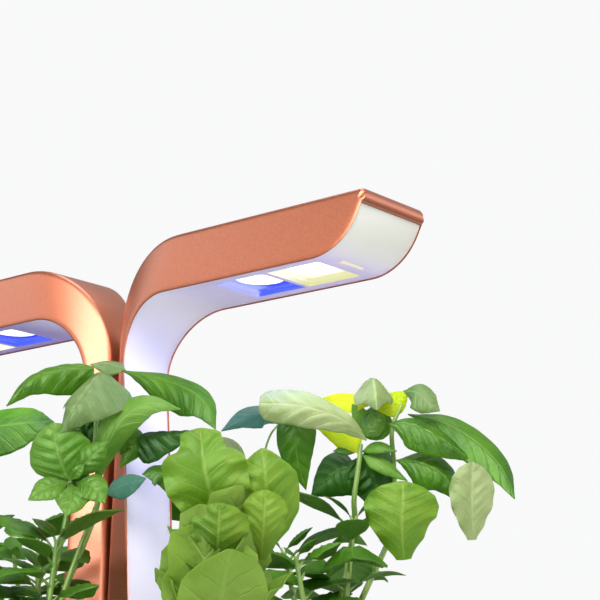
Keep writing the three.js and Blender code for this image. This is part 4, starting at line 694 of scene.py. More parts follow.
def leaf_finishes(colours):
    finishes = {}
    for name, (veins, slant, gloss, top, *others) in LEAF_KINDS.items():
        top = tone(*top) if top else opaque(getattr(colours, name))
        deep, vein, under, through = [tone(*value) for value in others]
        finishes[name] = leaf_blade(name + "_leaf", top, deep, vein, under, veins, slant, gloss, through)
    return finishes


# Lamp arms: the side view has an under line and an over line, each a leg, a bend, a head and a tip.
def corner_arc(start, corner, end, radius):
    """The arc that rounds the corner between two lines, as a function of the share along it."""
    to_start = (start - corner).normalized()
    to_end = (end - corner).normalized()
    half_angle = math.acos(to_start.dot(to_end)) / 2
    first = corner + to_start * (radius / math.tan(half_angle))
    centre = corner + (to_start + to_end).normalized() * (radius / math.sin(half_angle))
    spoke = first - centre
    sweep = 2 * half_angle - math.pi

    def at(share):
        return centre + Matrix.Rotation(sweep * share, 2) @ spoke
    return at


class ArmForm:
    """The right arm in its side view: stage 0 is the foot and stage 4 the nose, in millimetres."""

    LAST = 4
    # The stages where the leg starts to widen, the head has its full width, and the hollow ends.
    LEG_END = 0.94
    HEAD_START = 2.05
    HOLLOW_END = 3.72
    # The lower rounding, and the most of a section's thickness that each rounding may take.
    LOWER_ROUNDING = 4.0
    LOWER_SHARE = 0.5
    UPPER_SHARE = 0.42
    ROUNDING_STEPS = 5

    def __init__(self, sizes):
        shell_low = low("arm_shell_right")
        self.reach, self.head_half, top = high("arm_shell_right")
        self.top = top + sizes.top_rise / MM
        self.rim, self.wall = sizes.rim / MM, sizes.wall / MM
        self.recess, self.panel = sizes.panel_recess / MM, sizes.panel_thickness / MM
        self.seat = self.recess + self.panel + GAP
        self.underside = low("lamp_window_right").z - self.seat
        self.front_half, self.back_half = sizes.leg_front_width / MM / 2, sizes.leg_back_width / MM / 2
        self.tip_radius, self.tip_angle = sizes.tip_radius / MM, sizes.tip_angle
        self.tip_flat, self.nose_slope = sizes.tip_flat / MM, sizes.nose_slope / MM
        self.edge, self.under_edge = sizes.edge_radius / MM, sizes.under_edge / MM
        self.bulge = sizes.nose_bulge / MM
        self.tip_run = self.tip_radius * self.tip_angle + self.tip_flat
        curve_run = self.tip_radius * math.sin(self.tip_angle)
        self.curve_start = self.reach - curve_run - self.tip_flat * math.cos(self.tip_angle)
        self.under_foot = Vector((shell_low.x + sizes.leg_depth / MM, shell_low.z))
        self.over_foot = Vector((shell_low.x, shell_low.z))
        under_corner = Vector((sizes.leg_front_top / MM, self.underside))
        over_corner = Vector((sizes.leg_back_top / MM, self.top))
        under_end, over_end = Vector((self.reach, self.underside)), Vector((self.reach, self.top))
        self.under_bend = corner_arc(self.under_foot, under_corner, under_end, sizes.under_bend / MM)
        self.over_bend = corner_arc(self.over_foot, over_corner, over_end, sizes.over_bend / MM)

    def under(self, stage):
        if stage <= 1:
            return self.under_foot.lerp(self.under_bend(0), stage)
        if stage <= 2:
            return self.under_bend(stage - 1)
        if stage <= 3:
            return self.under_bend(1).lerp(Vector((self.curve_start, self.underside)), stage - 2)
        arc = self.tip_radius * self.tip_angle
        run = (stage - 3) * self.tip_run
        angle = min(run / self.tip_radius, self.tip_angle)
        beyond = max(run - arc, 0)
        return Vector((
            self.curve_start + self.tip_radius * math.sin(angle) + beyond * math.cos(angle),
            self.underside + self.tip_radius * (1 - math.cos(angle)) + beyond * math.sin(angle),
        ))

    def over(self, stage):
        if stage <= 1:
            return self.over_foot.lerp(self.over_bend(0), stage)
        if stage <= 2:
            return self.over_bend(stage - 1)
        if stage <= 3:
            return self.over_bend(1).lerp(Vector((self.curve_start, self.top)), stage - 2)
        share = (self.under(stage).x - self.curve_start) / (self.reach - self.curve_start)
        return Vector((between(self.curve_start, self.reach - self.nose_slope, share), self.top))

    def square_to(self, line, stage):
        """Into the arm from its under line, or out of it from its over line."""
        step = 0.002
        run = (line(min(stage + step, self.LAST)) - line(max(stage - step, 0))).normalized()
        return Vector((-run.y, run.x))

    def level(self, stage, depth, inset, from_over=False):
        """A place in the section: how far in from the under or over line, and from the side."""
        under, over = self.under(stage), self.over(stage)
        blend = smooth(self.LEG_END, self.HEAD_START, stage)
        under_half = between(self.front_half, self.head_half, blend)
        over_half = between(self.back_half, self.head_half, blend)
        share = depth / (over - under).length
        if from_over:
            point = over - self.square_to(self.over, stage) * depth
            share = 1 - share
        else:
            point = under + self.square_to(self.under, stage) * depth
        return point, between(under_half, over_half, share) - inset

    def section(self, stage, hollow, seated):
        """The shell's section: round the outside from rim to rim, and back round the inside."""
        thick = (self.over(stage) - self.under(stage)).length
        lower = min(self.LOWER_ROUNDING, thick * self.LOWER_SHARE)
        upper = min(self.edge, thick * self.UPPER_SHARE)
        arcs = [QUARTER * k / self.ROUNDING_STEPS for k in range(self.ROUNDING_STEPS + 1)]
        arcs = [(1 - math.cos(arc), 1 - math.sin(arc)) for arc in arcs]
        outside = [self.level(stage, 0, self.rim)]
        outside += [self.level(stage, lower * out, self.under_edge * rise) for out, rise in arcs]
        outside += [self.level(stage, upper * rise, upper * out, from_over=True) for out, rise in arcs]
        floor = self.seat if seated else 0
        seat, foot = self.level(stage, floor, self.rim), self.level(stage, floor, self.wall)
        roof = self.level(stage, self.wall, self.wall, from_over=True) if hollow else foot
        inside = [roof, foot, seat]
        return right_of(outside) + left_of(outside) + left_of(inside) + right_of(inside)

    def stages(self, end, bend_steps=26, tip_steps=14):
        bend = [1 + k / bend_steps for k in range(bend_steps)]
        tip = [3 + (end - 3) * k / tip_steps for k in range(tip_steps)]
        return [0, self.LEG_END, *bend, 2, self.HEAD_START, *tip, end]


def right_of(levels):
    """One side of a section, in the order of its levels."""
    return [(point.x, half, point.y) for point, half in levels]


def left_of(levels):
    """The other side of a section, in the opposite order."""
    return [(point.x, -half, point.y) for point, half in reversed(levels)]


def turn_to(side, points):
    """The left arm is the right one turned half round."""
    return [(-x, -y, z) for x, y, z in points] if side == "left" else points


# How finely the solid tip and the nose are stepped, and how far the nose turns in.
TIP_STEPS = 5
NOSE_STEPS = 7
NOSE_TURN = QUARTER * 0.94


def arm_shell(side, sizes):
    """The copper cover: hollow as far as the tip, with a seat for the white face and a round nose."""
    form = ArmForm(sizes)
    seat_end = form.LAST - sizes.tip_lip / MM / form.tip_run
    solid = [between(form.HOLLOW_END, seat_end, k / TIP_STEPS) for k in range(1, TIP_STEPS + 1)]
    plan = [(stage, True, True) for stage in form.stages(form.HOLLOW_END)]
    plan += [(stage, False, True) for stage in (form.HOLLOW_END, *solid)]
    plan += [(seat_end, False, False)]
    rings = [form.section(*row) for row in plan]
    under, over = form.under(form.LAST), form.over(form.LAST)
    middle = (under + over) / 2
    rise = (over - under).normalized()
    ahead = Vector((rise.y, -rise.x))
    last = form.section(form.LAST, False, False)
    for k in range(NOSE_STEPS + 1):
        turn = NOSE_TURN * k / NOSE_STEPS
        shrink, push = math.cos(turn), form.bulge * math.sin(turn)
        ring = []
        for x, y, z in last:
            place = middle + (Vector((x, z)) - middle) * shrink + ahead * push
            ring.append((place.x, y - math.copysign(form.bulge * (1 - shrink), y), place.y))
        rings.append(ring)
    return loft(f"arm_cover_{side}", [turn_to(side, ring) for ring in rings])


def prism(name, outline, bottom, top):
    return loft(name, [raised(outline, bottom), raised(outline, top)])


def bore(name, radius, bottom, top, centre, sides=64):
    return turned(name, [(radius, bottom), (radius, top)], centre, sides)


# From the underside of the arm to the ends of the tools that cut the windows and the sensor's slot.
CUT_BELOW = -4
CUT_ABOVE = 8


def arm_panel(side, sizes, lamp):
    """The white face with its two windows and the slot for the sensor."""
    form = ArmForm(sizes)
    inset = form.rim + GAP
    end = form.LAST - (sizes.tip_lip / MM + GAP) / form.tip_run
    rings = []
    for stage in form.stages(end, tip_steps=18):
        faces = [form.level(stage, depth, inset) for depth in (form.recess, form.recess + form.panel)]
        rings.append(right_of(faces) + left_of(faces))
    panel = loft(f"arm_face_{side}", [turn_to(side, ring) for ring in rings])
    direction = -1 if side == "left" else 1
    tools = [
        prism(
            "window_tool",
            rounded_outline(lamp.half, lamp.half, lamp.radius, centre=(direction * centre, 0)),
            form.underside + CUT_BELOW,
            form.underside + CUT_ABOVE,
        )
        for centre in (lamp.blue, lamp.warm)
    ]
    tools.append(sensor_bar("sensor_tool", side, form, lamp, GAP / 2, CUT_BELOW, CUT_ABOVE))
    carve(panel, *tools)
    return ease(panel, 0.28, 0.8, 2)


def sensor_bar(name, side, form, lamp, growth, bottom, top):
    """A bar with round ends that stands square to the curve of the tip."""
    angle = lamp.sensor_share * form.tip_angle
    foot = Vector((
        form.curve_start + form.tip_radius * math.sin(angle),
        0,
        form.underside + form.tip_radius * (1 - math.cos(angle)),
    ))
    lean = Matrix.Rotation(-angle, 3, "Y")
    half_x, half_y = lamp.sensor_width / 2 + growth, lamp.sensor_length / 2 + growth
    outline = rounded_outline(half_x, half_y, half_x - 0.05, 8)
    rings = [[tuple(foot + lean @ Vector((x, y, z))) for x, y in outline] for z in (bottom, top)]
    return loft(name, [turn_to(side, ring) for ring in rings])


class LampPlan:
    """Where the lamps lie along an arm, in millimetres from the middle of the garden."""

    PANE_THICKNESS = 0.2
    PANE_GAP = 0.03

    def __init__(self, sizes):
        self.blue, self.warm = mid("blue_led_right").x, mid("white_led_right").x
        self.half, self.radius = sizes.window / MM / 2, sizes.window_radius / MM
        self.emitter = (high("blue_led_right").x - low("blue_led_right").x) / 2
        self.pane = low("lamp_window_right").z + self.PANE_THICKNESS
        self.bottom, self.top = self.pane + self.PANE_GAP, high("reflector_tray_right").z
        self.ceiling = self.top - sizes.tray_floor / MM
        self.draft = sizes.tray_draft / MM
        self.slab_low, self.slab_high = low("reflector_tray_right"), high("reflector_tray_right")
        self.bridge = (self.blue + self.warm) / 2
        self.sensor_share = sizes.sensor_share
        self.sensor_length, self.sensor_width = sizes.sensor_length / MM, sizes.sensor_width / MM


def lamp_tray(side, lamp):
    """The tray over both windows, with a drafted pocket and a round hole for each emitter."""
    direction = -1 if side == "left" else 1
    middle = direction * (lamp.slab_low.x + lamp.slab_high.x) / 2
    half_x, half_y = (lamp.slab_high.x - lamp.slab_low.x) / 2, lamp.slab_high.y
    tray = prism(
        f"lamp_pockets_{side}",
        rounded_outline(half_x, half_y, lamp.radius, centre=(middle, 0)),
        lamp.bottom,
        lamp.top,
    )
    tools = []
    for centre in (lamp.blue, lamp.warm):
        place = (direction * centre, 0)
        wide = rounded_outline(lamp.half, lamp.half, lamp.radius, centre=place)
        small = lamp.half - lamp.draft
        narrow = rounded_outline(small, small, lamp.radius, centre=place)
        rings = [raised(wide, lamp.bottom - GAP / 2), raised(narrow, lamp.ceiling)]
        tools.append(loft("pocket_tool", rings))
        tools.append(bore("hole_tool", lamp.emitter + GAP, lamp.bottom, lamp.top + TOOL_REACH, place))
    carve(tray, *tools)
    return ease(tray, 0.15, 0.9, 1)


def lamp_pane(node, lamp):
    """The clear pane, let down to just over the white face."""
    size = high(node) - low(node)
    outline = rounded_outline(size.x / 2, size.y / 2, 2.0, centre=mid(node).xy)
    return prism(node + "_pane", outline, low(node).z - GAP + lamp.PANE_GAP, lamp.pane)


def lamp_disc(node):
    """A round emitter with an eased rim and a shallow dome."""
    centre, bottom, top = mid(node), low(node).z, high(node).z
    radius = high(node).x - centre.x
    profile = [(AXIS, bottom - 0.12), (radius * 0.5, bottom - 0.09), (radius * 0.85, bottom - 0.02)]
    profile += [(radius - 0.15, bottom + 0.1), (radius, bottom + 0.3), (radius, top), (AXIS, top)]
    return turned(node + "_disc", profile, centre, 72)


# Tank and deck, in millimetres: the rounding of the tank's foot and rim, how far its inside stops
# above its foot, the room round the power inlet, and how far the lid's hinge lies below the deck's
# top. The hinge's pins have a radius and a reach to each side, and turn in a wider bore. The power
# key's cup has a floor and a wall of one thickness, and the sleeves reach a little into the deck.
FOOT_ROUNDING = 1.1
RIM_ROUNDING = 1.3
INSIDE_FOOT = 0.6
INLET_ROOM = 0.5
HINGE_DROP = 1.5
PIN_RADIUS = 1.1
PIN_REACH = 2
PIN_BORE = 1.25
CUP_FLOOR = 1.4
SLEEVE_OVERLAP = 0.4


class TankForm:
    """The outline flares from the bottom and stands upright at the rim."""

    def __init__(self, sizes):
        self.half_x, self.half_y = high("outer_shell").x, high("outer_shell").y
        self.bottom, self.top = low("outer_shell").z, high("outer_shell").z
        self.flare, self.corner = sizes.flare / MM, sizes.corner_radius / MM
        self.wall = sizes.shell_wall / MM

    def outline(self, z, inset, steps=20):
        rise = min(max((z - self.bottom) / (self.top - self.bottom), 0), 1)
        narrowing = self.flare * (1 - math.sin(rise * QUARTER)) + inset
        half_x, half_y = self.half_x - narrowing, self.half_y - narrowing
        return rounded_outline(half_x, half_y, self.corner - narrowing, steps)


def tank_cover(sizes):
    """The copper body: a flared wall with a rounded rim and a rounded foot."""
    form = TankForm(sizes)
    foot, rim = form.bottom + FOOT_ROUNDING, form.top - RIM_ROUNDING
    plan = []
    for turn in (QUARTER * k / 4 for k in range(4, -1, -1)):
        rise, out = 1 - math.sin(turn), 1 - math.cos(turn)
        plan.append((form.bottom + FOOT_ROUNDING * rise, FOOT_ROUNDING * out))
    plan += [(between(foot, rim, k / 14), 0) for k in range(1, 15)]
    for turn in (math.pi * k / 8 for k in range(1, 9)):
        plan.append((rim + RIM_ROUNDING * math.sin(turn), RIM_ROUNDING * (1 - math.cos(turn))))
    plan += [(between(rim, form.bottom + INSIDE_FOOT, k / 6), form.wall) for k in range(1, 7)]
    cover = loft("tank_cover", [raised(form.outline(z, inset), z) for z, inset in plan], closed=True)
    inlet_low, inlet_high = low("power_inlet"), high("power_inlet")
    half = (inlet_high.x - inlet_low.x) / 2 + INLET_ROOM
    outline = rounded_outline(half, 20, 0.8, centre=(mid("power_inlet").x, form.half_y - 10))
    return carve(cover, prism("inlet_tool", outline, inlet_low.z - INLET_ROOM, inlet_high.z + INLET_ROOM))


def tube(name, inner, outer, bottom, top, centre, sides=56):
    """A ring with a square section."""
    profile = [(inner, bottom), (outer, bottom), (outer, top), (inner, top)]
    return turned(name, profile, centre, sides, closed=True)


def hinge_rod(name, x, z, reach, radius, sides, middle=0):
    """A rod along Y on the axis of the lid's hinge."""
    return loft(name, rod([(x, middle - reach, z), (x, middle + reach, z)], [radius, radius], sides))


def garden_deck(sizes, pod_sizes):
    """The white deck with its pod holes, mast hole, filling hole and the sleeves below it."""
    form = TankForm(sizes)
    top = high("outer_shell").z - sizes.deck_sink / MM
    bottom = top - sizes.deck_thickness / MM
    slide = sizes.slide_gap / MM
    plate = prism("deck_plate", form.outline(top, form.wall + slide), bottom, top)
    pod_radius = pod_sizes.pod_radius / MM + slide
    pods = [mid("pod_collar_" + name) for name in POD_NAMES]
    lid_low, lid_high = low("fill_lid"), high("fill_lid")
    lap = sizes.lid_lap / MM
    lid_start = lid_high.x - sizes.lid_length / MM
    hinge_x = lid_low.x + sizes.knuckle_radius / MM
    hinge_half = (lid_high.y - lid_low.y) / 4
    button, float_place = mid("power_button"), mid("level_float")
    button_radius = high("power_button").x - button.x + slide
    stem = sizes.float_stem / MM + slide
    cut = (bottom - TOOL_REACH, top + TOOL_REACH)
    lid_middle = ((lid_start + lid_high.x) / 2, 0)
    lid_half = (lid_high.x - lid_start) / 2 - lap
    openings = (
        rounded_outline(sizes.well_length / MM / 2, sizes.well_depth / MM / 2, 2.9, 6),
        rounded_outline(lid_half, lid_high.y - lap, lap, centre=lid_middle),
        rounded_outline(3.4, hinge_half + slide, 0.4, 3, centre=(hinge_x - 0.2, 0)),
    )
    tools = [bore("pod_tool", pod_radius, *cut, place, 72) for place in pods]
    tools += [prism("opening_tool", outline, *cut) for outline in openings]
    tools.append(bore("button_tool", button_radius, *cut, button, 72))
    tools.append(bore("float_tool", stem, *cut, float_place, 40))
    carve(plate, *tools)
    ease(plate, 0.45, 0.7, 2)
    wall, span = sizes.sleeve_wall / MM, (bottom - sizes.sleeve_depth / MM, bottom + SLEEVE_OVERLAP)
    sleeves = [tube("sleeve", pod_radius, pod_radius + wall, *span, place) for place in pods]
    sleeves.append(tube("sleeve", stem, stem + wall, *span, float_place, 32))
    cup, rim = low("button_spring").z - GAP, bottom + SLEEVE_OVERLAP
    outer = button_radius + CUP_FLOOR
    profile = [
        (AXIS, cup - CUP_FLOOR), (outer, cup - CUP_FLOOR), (outer, rim),
        (button_radius, rim), (button_radius, cup), (AXIS, cup),
    ]
    sleeves.append(turned("sleeve", profile, button, 48))
    pins = [
        hinge_rod("pin", hinge_x, top - HINGE_DROP, PIN_REACH, PIN_RADIUS, 20, side * (hinge_half + slide))
        for side in (-1, 1)
    ]
    return fuse("garden_deck", [plate, *sleeves, *pins])


def pod_collar(name, sizes):
    """A shallow dome with a rolled edge and a lip round the growing hole."""
    node = "pod_collar_" + name
    centre, bottom, top = mid(node), low(node).z, high(node).z
    outer, inner = high(node).x - centre.x, sizes.collar_hole / MM / 2
    corners = [
        (inner, bottom), (outer - 0.4, bottom), (outer, bottom + 0.6), (outer - 0.3, bottom + 1.9),
        (outer - 2.6, bottom + 3.0), (between(outer, inner, 0.5), bottom + 4.3), (inner + 2.2, top),
        (inner + 0.5, top), (inner, top - 0.7), (inner, bottom),
    ]
    profile = rounded_profile(corners, 1.6, 4)[:-1]
    return turned("collar_" + name, profile, centre, 96, closed=True)


# In millimetres: half the width of the basket's slots, and their height.
SLOT_HALF = 2
SLOT_HEIGHT = 18


def pod_basket(name, sizes):
    """The slotted basket that hangs in the deck from its flange."""
    node = "pod_cup_" + name
    centre, bottom, top = mid(node), low(node).z, high(node).z
    flange, flange_z = high(node).x - centre.x, top - sizes.flange / MM
    rim, floor, wall = sizes.pod_radius / MM, sizes.pod_floor_radius / MM, sizes.pod_wall / MM
    corners = [
        (AXIS, bottom), (floor, bottom), (rim, flange_z), (flange, flange_z), (flange, top),
        (rim - wall, top), (floor - wall, bottom + wall), (AXIS, bottom + wall),
    ]
    basket = turned("basket_" + name, rounded_profile(corners, 0.5, 2), centre, 64)
    tools = []
    slot = rounded_outline(rim + TOOL_REACH, SLOT_HALF, 0.8, 3)
    for turn in (Matrix.Rotation(QUARTER * k, 3, "Z") for k in range(2)):
        rings = [
            [tuple(turn @ Vector((x, y, 0)) + Vector((centre.x, centre.y, z))) for x, y in slot]
            for z in (bottom + 2 * wall, bottom + 2 * wall + SLOT_HEIGHT)
        ]
        tools.append(loft("slot_tool", rings))
    return carve(basket, *tools)


def eased_plate(name, half_x, half_y, radius, edge, bottom, top):
    """A flat plate with a rounded upper edge and holes for both posts."""
    plan = [(GAP, bottom), (0, bottom + GAP)]
    for turn in (QUARTER * k / 5 for k in range(6)):
        plan.append((edge * (1 - math.cos(turn)), top - edge + edge * math.sin(turn)))
    rings = [raised(rounded_outline(half_x - inset, half_y - inset, radius - inset), z) for inset, z in plan]
    return carve(loft(name, rings), *post_holes(bottom - TOOL_REACH, top + TOOL_REACH))


def post_holes(bottom, top):
    tools = []
    for node in ("lift_post_left", "lift_post_right"):
        centre = mid(node)
        half_x, half_y = high(node).x - centre.x + GAP, high(node).y + GAP
        outline = rounded_outline(half_x, half_y, 1.6, 5, centre=(centre.x, 0))
        tools.append(prism("post_tool", outline, bottom, top))
    return tools


# In millimetres: the plugs that fill the legs reach along X from here to here, and stay this far
# inside the legs' back width.
PLUG_START = 4.0
PLUG_END = 23.0
PLUG_INSET = 2.9


def mast_plates(sizes):
    """The plate round the mast on the deck, and the foot that ties both legs together."""
    size, bottom = high("mast_collar"), low("mast_collar").z
    collar = eased_plate("mast_plate", size.x, size.y, sizes.mast_corner / MM, 1.4, bottom, size.z)
    size, bottom = high("leg_base"), low("leg_base").z
    top = bottom + sizes.foot_height / MM
    foot = eased_plate("leg_foot_plate", size.x, size.y, sizes.foot_corner / MM, 1.0, bottom, top)
    plugs = []
    for side in (-1, 1):
        half_y = sizes.leg_back_width / MM / 2 - PLUG_INSET
        middle = (side * (PLUG_START + PLUG_END) / 2, 0)
        outline = rounded_outline((PLUG_END - PLUG_START) / 2, half_y, 1.0, 4, centre=middle)
        plug = prism("leg_plug", outline, top - GAP, size.z)
        plugs.append(carve(plug, *post_holes(top - 2 * TOOL_REACH, size.z + 2 * TOOL_REACH)))
    return collar, fuse("leg_foot", [foot, *plugs])


def foot_pad(name):
    """A rubber disc with a hollowed sole and the stud that holds it."""
    node = "foot_" + name
    centre, top = mid(node), high(node).z
    radius = high(node).x - centre.x
    corners = [
        (AXIS, 0.5), (radius - 3.5, 0.5), (radius - 2.8, 0), (radius, 0), (radius, 3.5),
        (4, 3.5), (4, top), (AXIS, top),
    ]
    return turned("pad_" + name, rounded_profile(corners, 0.7, 3), centre, 64)


# Half the thickness of the lid's finger pull, in millimetres.
PULL_HALF = 0.75


def fill_lid(sizes):
    """The lid over the filling hole with its finger pull, tongue and hinge knuckle."""
    lid_low, lid_high = low("fill_lid"), high("fill_lid")
    length, lap = sizes.lid_length / MM, sizes.lid_lap / MM
    start = lid_high.x - length
    deck = high("outer_shell").z - sizes.deck_sink / MM
    bottom, thick = deck + GAP, sizes.lid_thickness / MM
    outline = rounded_outline(length / 2, lid_high.y, lap, 10, centre=((start + lid_high.x) / 2, 0))
    plate = ease(prism("lid_plate", outline, bottom, bottom + thick), 0.4, 0.7, 3)
    radius = sizes.knuckle_radius / MM
    hinge_x, hinge_z = lid_low.x + radius, bottom - GAP - HINGE_DROP
    half = (lid_high.y - lid_low.y) / 4
    knuckle = hinge_rod("knuckle", hinge_x, hinge_z, half, radius, 32)
    reach = radius * math.sqrt(0.5)
    sides = [
        [
            (hinge_x + reach, y, hinge_z - reach), (start + GAP, y, bottom),
            (start + GAP, y, bottom + thick), (hinge_x - reach, y, hinge_z + reach),
        ]
        for y in (-half, half)
    ]
    tongue = loft("tongue", sides)
    for item in (tongue, knuckle):
        carve(item, hinge_rod("bore_tool", hinge_x, hinge_z, half + TOOL_REACH, PIN_BORE, 24))
    grip = rounded_outline(PULL_HALF, 5, 0.5, 5, centre=(lid_high.x - lap + PULL_HALF, 0))
    pull = ease(prism("pull", grip, bottom + thick / 2, lid_high.z), 0.3, 0.7, 2)
    return fuse("fill_cover", [plate, knuckle, tongue, pull])


def power_button():
    """A round key with a dished top."""
    centre, bottom, top = mid("power_button"), low("power_button").z, high("power_button").z
    radius = high("power_button").x - centre.x
    corners = [
        (AXIS, bottom), (radius, bottom), (radius, top), (radius - 1.2, top), (radius - 2.4, top - 0.5),
        (radius * 0.35, top - 0.75), (AXIS, top - 0.78),
    ]
    return turned("power_key", rounded_profile(corners, 0.6, 4), centre, 72)


def level_float(sizes):
    """The float with its stem through the deck and the crown that shows the level."""
    centre, bottom, top = mid("level_float"), low("level_float").z, high("level_float").z
    radius, stem = high("level_float").x - centre.x, sizes.float_stem / MM
    deck_top = high("outer_shell").z - sizes.deck_sink / MM
    crown, body_top = sizes.float_crown / MM, bottom + sizes.float_height / MM
    corners = [
        (AXIS, bottom), (radius - 1, bottom), (radius, bottom + 2), (radius, body_top - 2),
        (radius - 2, body_top), (stem, body_top), (stem, deck_top + GAP), (crown, deck_top + GAP),
        (crown, top), (AXIS, top),
    ]
    return turned("level_marker", rounded_profile(corners, 0.7, 4), centre, 56)


# Plants
class ViewPoint:
    """The camera's place, and how a place in the picture becomes a place in the garden.

    It was fitted to the photograph: millimetres, angles, and pixels of a picture of 600 by 600."""

    PLACE = Vector((727.2, -675.6, 89.4))
    YAW = math.radians(40.67)
    PITCH = math.radians(14.33)
    ROLL = math.radians(0.61)
    FOCAL = 1560.96
    PICTURE = 600

    def __init__(self):
        yaw, pitch = self.YAW, self.PITCH
        ahead = Vector((-math.sin(yaw) * math.cos(pitch), math.cos(yaw) * math.cos(pitch), math.sin(pitch)))
        level = Vector((math.cos(yaw), math.sin(yaw), 0))
        above = level.cross(ahead)
        self.ahead = ahead
        self.right = level * math.cos(self.ROLL) + above * math.sin(self.ROLL)
        self.up = above * math.cos(self.ROLL) - level * math.sin(self.ROLL)

    def depth(self, point):
        return (Vector(point) - self.PLACE).dot(self.ahead)

    def place(self, across, down, depth):
        side = (across - self.PICTURE / 2) / self.FOCAL
        drop = (down - self.PICTURE / 2) / self.FOCAL
        return self.PLACE + (self.ahead + self.right * side - self.up * drop) * depth

    def direction(self, right, up, towards):
        return (self.right * right + self.up * up - self.ahead * towards).normalized()


VIEW = ViewPoint()

# Half width of a leaf along its length, as shares of the widest place.
BASIL_WIDTHS = (
    (0, 0.03), (0.05, 0.12), (0.12, 0.36), (0.2, 0.64), (0.3, 0.88), (0.42, 1), (0.55, 0.97),
    (0.68, 0.82), (0.8, 0.57), (0.9, 0.3), (0.96, 0.12), (1, 0.02),
)
LETTUCE_WIDTHS = (
    (0, 0.14), (0.2, 0.5), (0.4, 0.94), (0.55, 1), (0.7, 0.99), (0.76, 0.84), (0.81, 0.56),
    (0.87, 0.5), (0.94, 0.48), (0.98, 0.32), (1, 0.06),
)
BROAD_WIDTHS = (
    (0, 0.24), (0.05, 0.66), (0.12, 0.92), (0.25, 1), (0.42, 0.9), (0.62, 0.66), (0.82, 0.36),
    (0.94, 0.14), (1, 0.02),
)
OVAL_WIDTHS = (
    (0, 0.24), (0.08, 0.66), (0.22, 0.95), (0.42, 1), (0.62, 0.96), (0.78, 0.78), (0.9, 0.5),
    (0.97, 0.24), (1, 0.04),
)
BLUNT_WIDTHS = (
    (0, 0.05), (0.2, 0.46), (0.4, 0.78), (0.62, 1), (0.85, 0.97), (0.95, 0.84), (0.99, 0.62), (1, 0.4),
)
ROUND_WIDTHS = (
    (0, 0.2), (0.25, 0.6), (0.5, 0.92), (0.68, 1), (0.82, 0.88), (0.92, 0.62), (0.98, 0.3), (1, 0.08),
)


def table_value(table, share):
    """A value between the rows of a table of (share, value), half eased from row to row."""
    for (start, low_value), (end, high_value) in zip(table, table[1:]):
        if share <= end:
            t = (share - start) / (end - start)
            return between(low_value, high_value, t * t * (3 - 2 * t) * 0.5 + t * 0.5)
    return table[-1][1]


def curve_through(points, share):
    """A smooth curve through points, at a share of the way along it."""
    spans = len(points) - 1
    place = min(share * spans, spans - 1e-9)
    i = int(place)
    t = place - i
    a, b = points[i], points[i + 1]
    before = points[i - 1] if i > 0 else a * 2 - b
    after = points[i + 2] if i + 2 <= spans else b * 2 - a
    return (
        b * (t * (1 + 4 * t - 3 * t * t) / 2) + a * ((2 - 5 * t * t + 3 * t ** 3) / 2)
        + before * (t * (2 * t - t * t - 1) / 2) + after * ((t ** 3 - t * t) / 2)
    )


class Blade:
    """How a kind of leaf is shaped across its rib."""

    def __init__(self, widths, fold, curl, pucker, veins, slant, wave, waves, thick):
        self.widths, self.fold, self.curl, self.pucker = widths, fold, curl, pucker
        self.veins, self.slant, self.wave, self.waves, self.thick = veins, slant, wave, waves, thick


# A leaf's blade: how far along the rib on either side its direction is taken, where the veins would
# stand straight, the power that draws the swelling between them, the half width in millimetres from
# which it is full, and how much a curled blade narrows.
RIB_REACH = 0.02
VEIN_END = 1.2
SWELL_POWER = 0.75
FULL_SWELL = 12
CURL_NARROWING = 0.12


def leaf_grid(spine, facings, half, blade, fold, along, across, seed=0.0):
    """Points, faces and UVs of one leaf: a thin closed blade along a spine, facing a given way."""
    upper, lower, uvs, under_uvs = [], [], [], []
    for i in range(along + 1):
        share = i / along
        point = curve_through(spine, share)
        before, after = max(share - RIB_REACH, 0), min(share + RIB_REACH, 1)
        run = curve_through(spine, after) - curve_through(spine, before)
        run.normalize()
        facing = facings[0].lerp(facings[1], share)
        side = run.cross(facing).normalized()
        normal = side.cross(run)
        width = half * table_value(blade.widths, share)
        for j in range(-across, across + 1):
            t = j / across
            away = abs(t)
            hand = 1 if t >= 0 else -1
            ladder = (share - away * blade.slant * (VEIN_END - share)) * blade.veins
            ladder += 0.5 if hand > 0 else 0
            swell = math.cos(math.pi * ladder) ** 2 * math.sin(math.pi * away ** SWELL_POWER)
            edge = blade.wave * away ** 3 * math.sin(share * blade.waves * FULL + seed + hand)
            rise = width * (math.sin(fold) * away - blade.curl * away * away + edge)
            rise += blade.pucker * min(width, FULL_SWELL) / FULL_SWELL * swell
            out = width * t * math.cos(fold) * (1 - CURL_NARROWING * blade.curl * away)
            upper.append(point + side * out + normal * rise)
            lower.append(upper[-1] - normal * blade.thick)
            uvs.append(((t + 1) / 2, share))
            under_uvs.append(((t + 1) / 2 + 2, share))
    row = 2 * across + 1
    count = len(upper)
    faces = []
    for i in range(along):
        for j in range(row - 1):
            a, b = i * row + j, i * row + j + 1
            c, d = b + row, a + row
            faces.append((a, b, c, d))
            faces.append((count + a, count + d, count + c, count + b))
        for a in (i * row, i * row + row - 1):
            faces.append((a, a + row, count + a + row, count + a))
    for j in range(row - 1):
        for a in (j, along * row + j):
            faces.append((a, a + 1, count + a + 1, count + a))
    return upper + lower, faces, uvs + under_uvs


class Foliage:
    """Gathers leaves and stalks of one finish into one mesh."""

    def __init__(self):
        self.points, self.faces, self.uvs = [], [], []

    def add(self, points, faces, uvs):
        start = len(self.points)
        self.points += points
        self.faces += [tuple(start + i for i in face) for face in faces]
        self.uvs += uvs

    def add_rings(self, rings):
        points, faces = skin(rings)
        self.add(points, faces, [(0.5, 0.5)] * len(points))

    def build(self, name):
        return piece(name, self.points, self.faces, self.uvs)


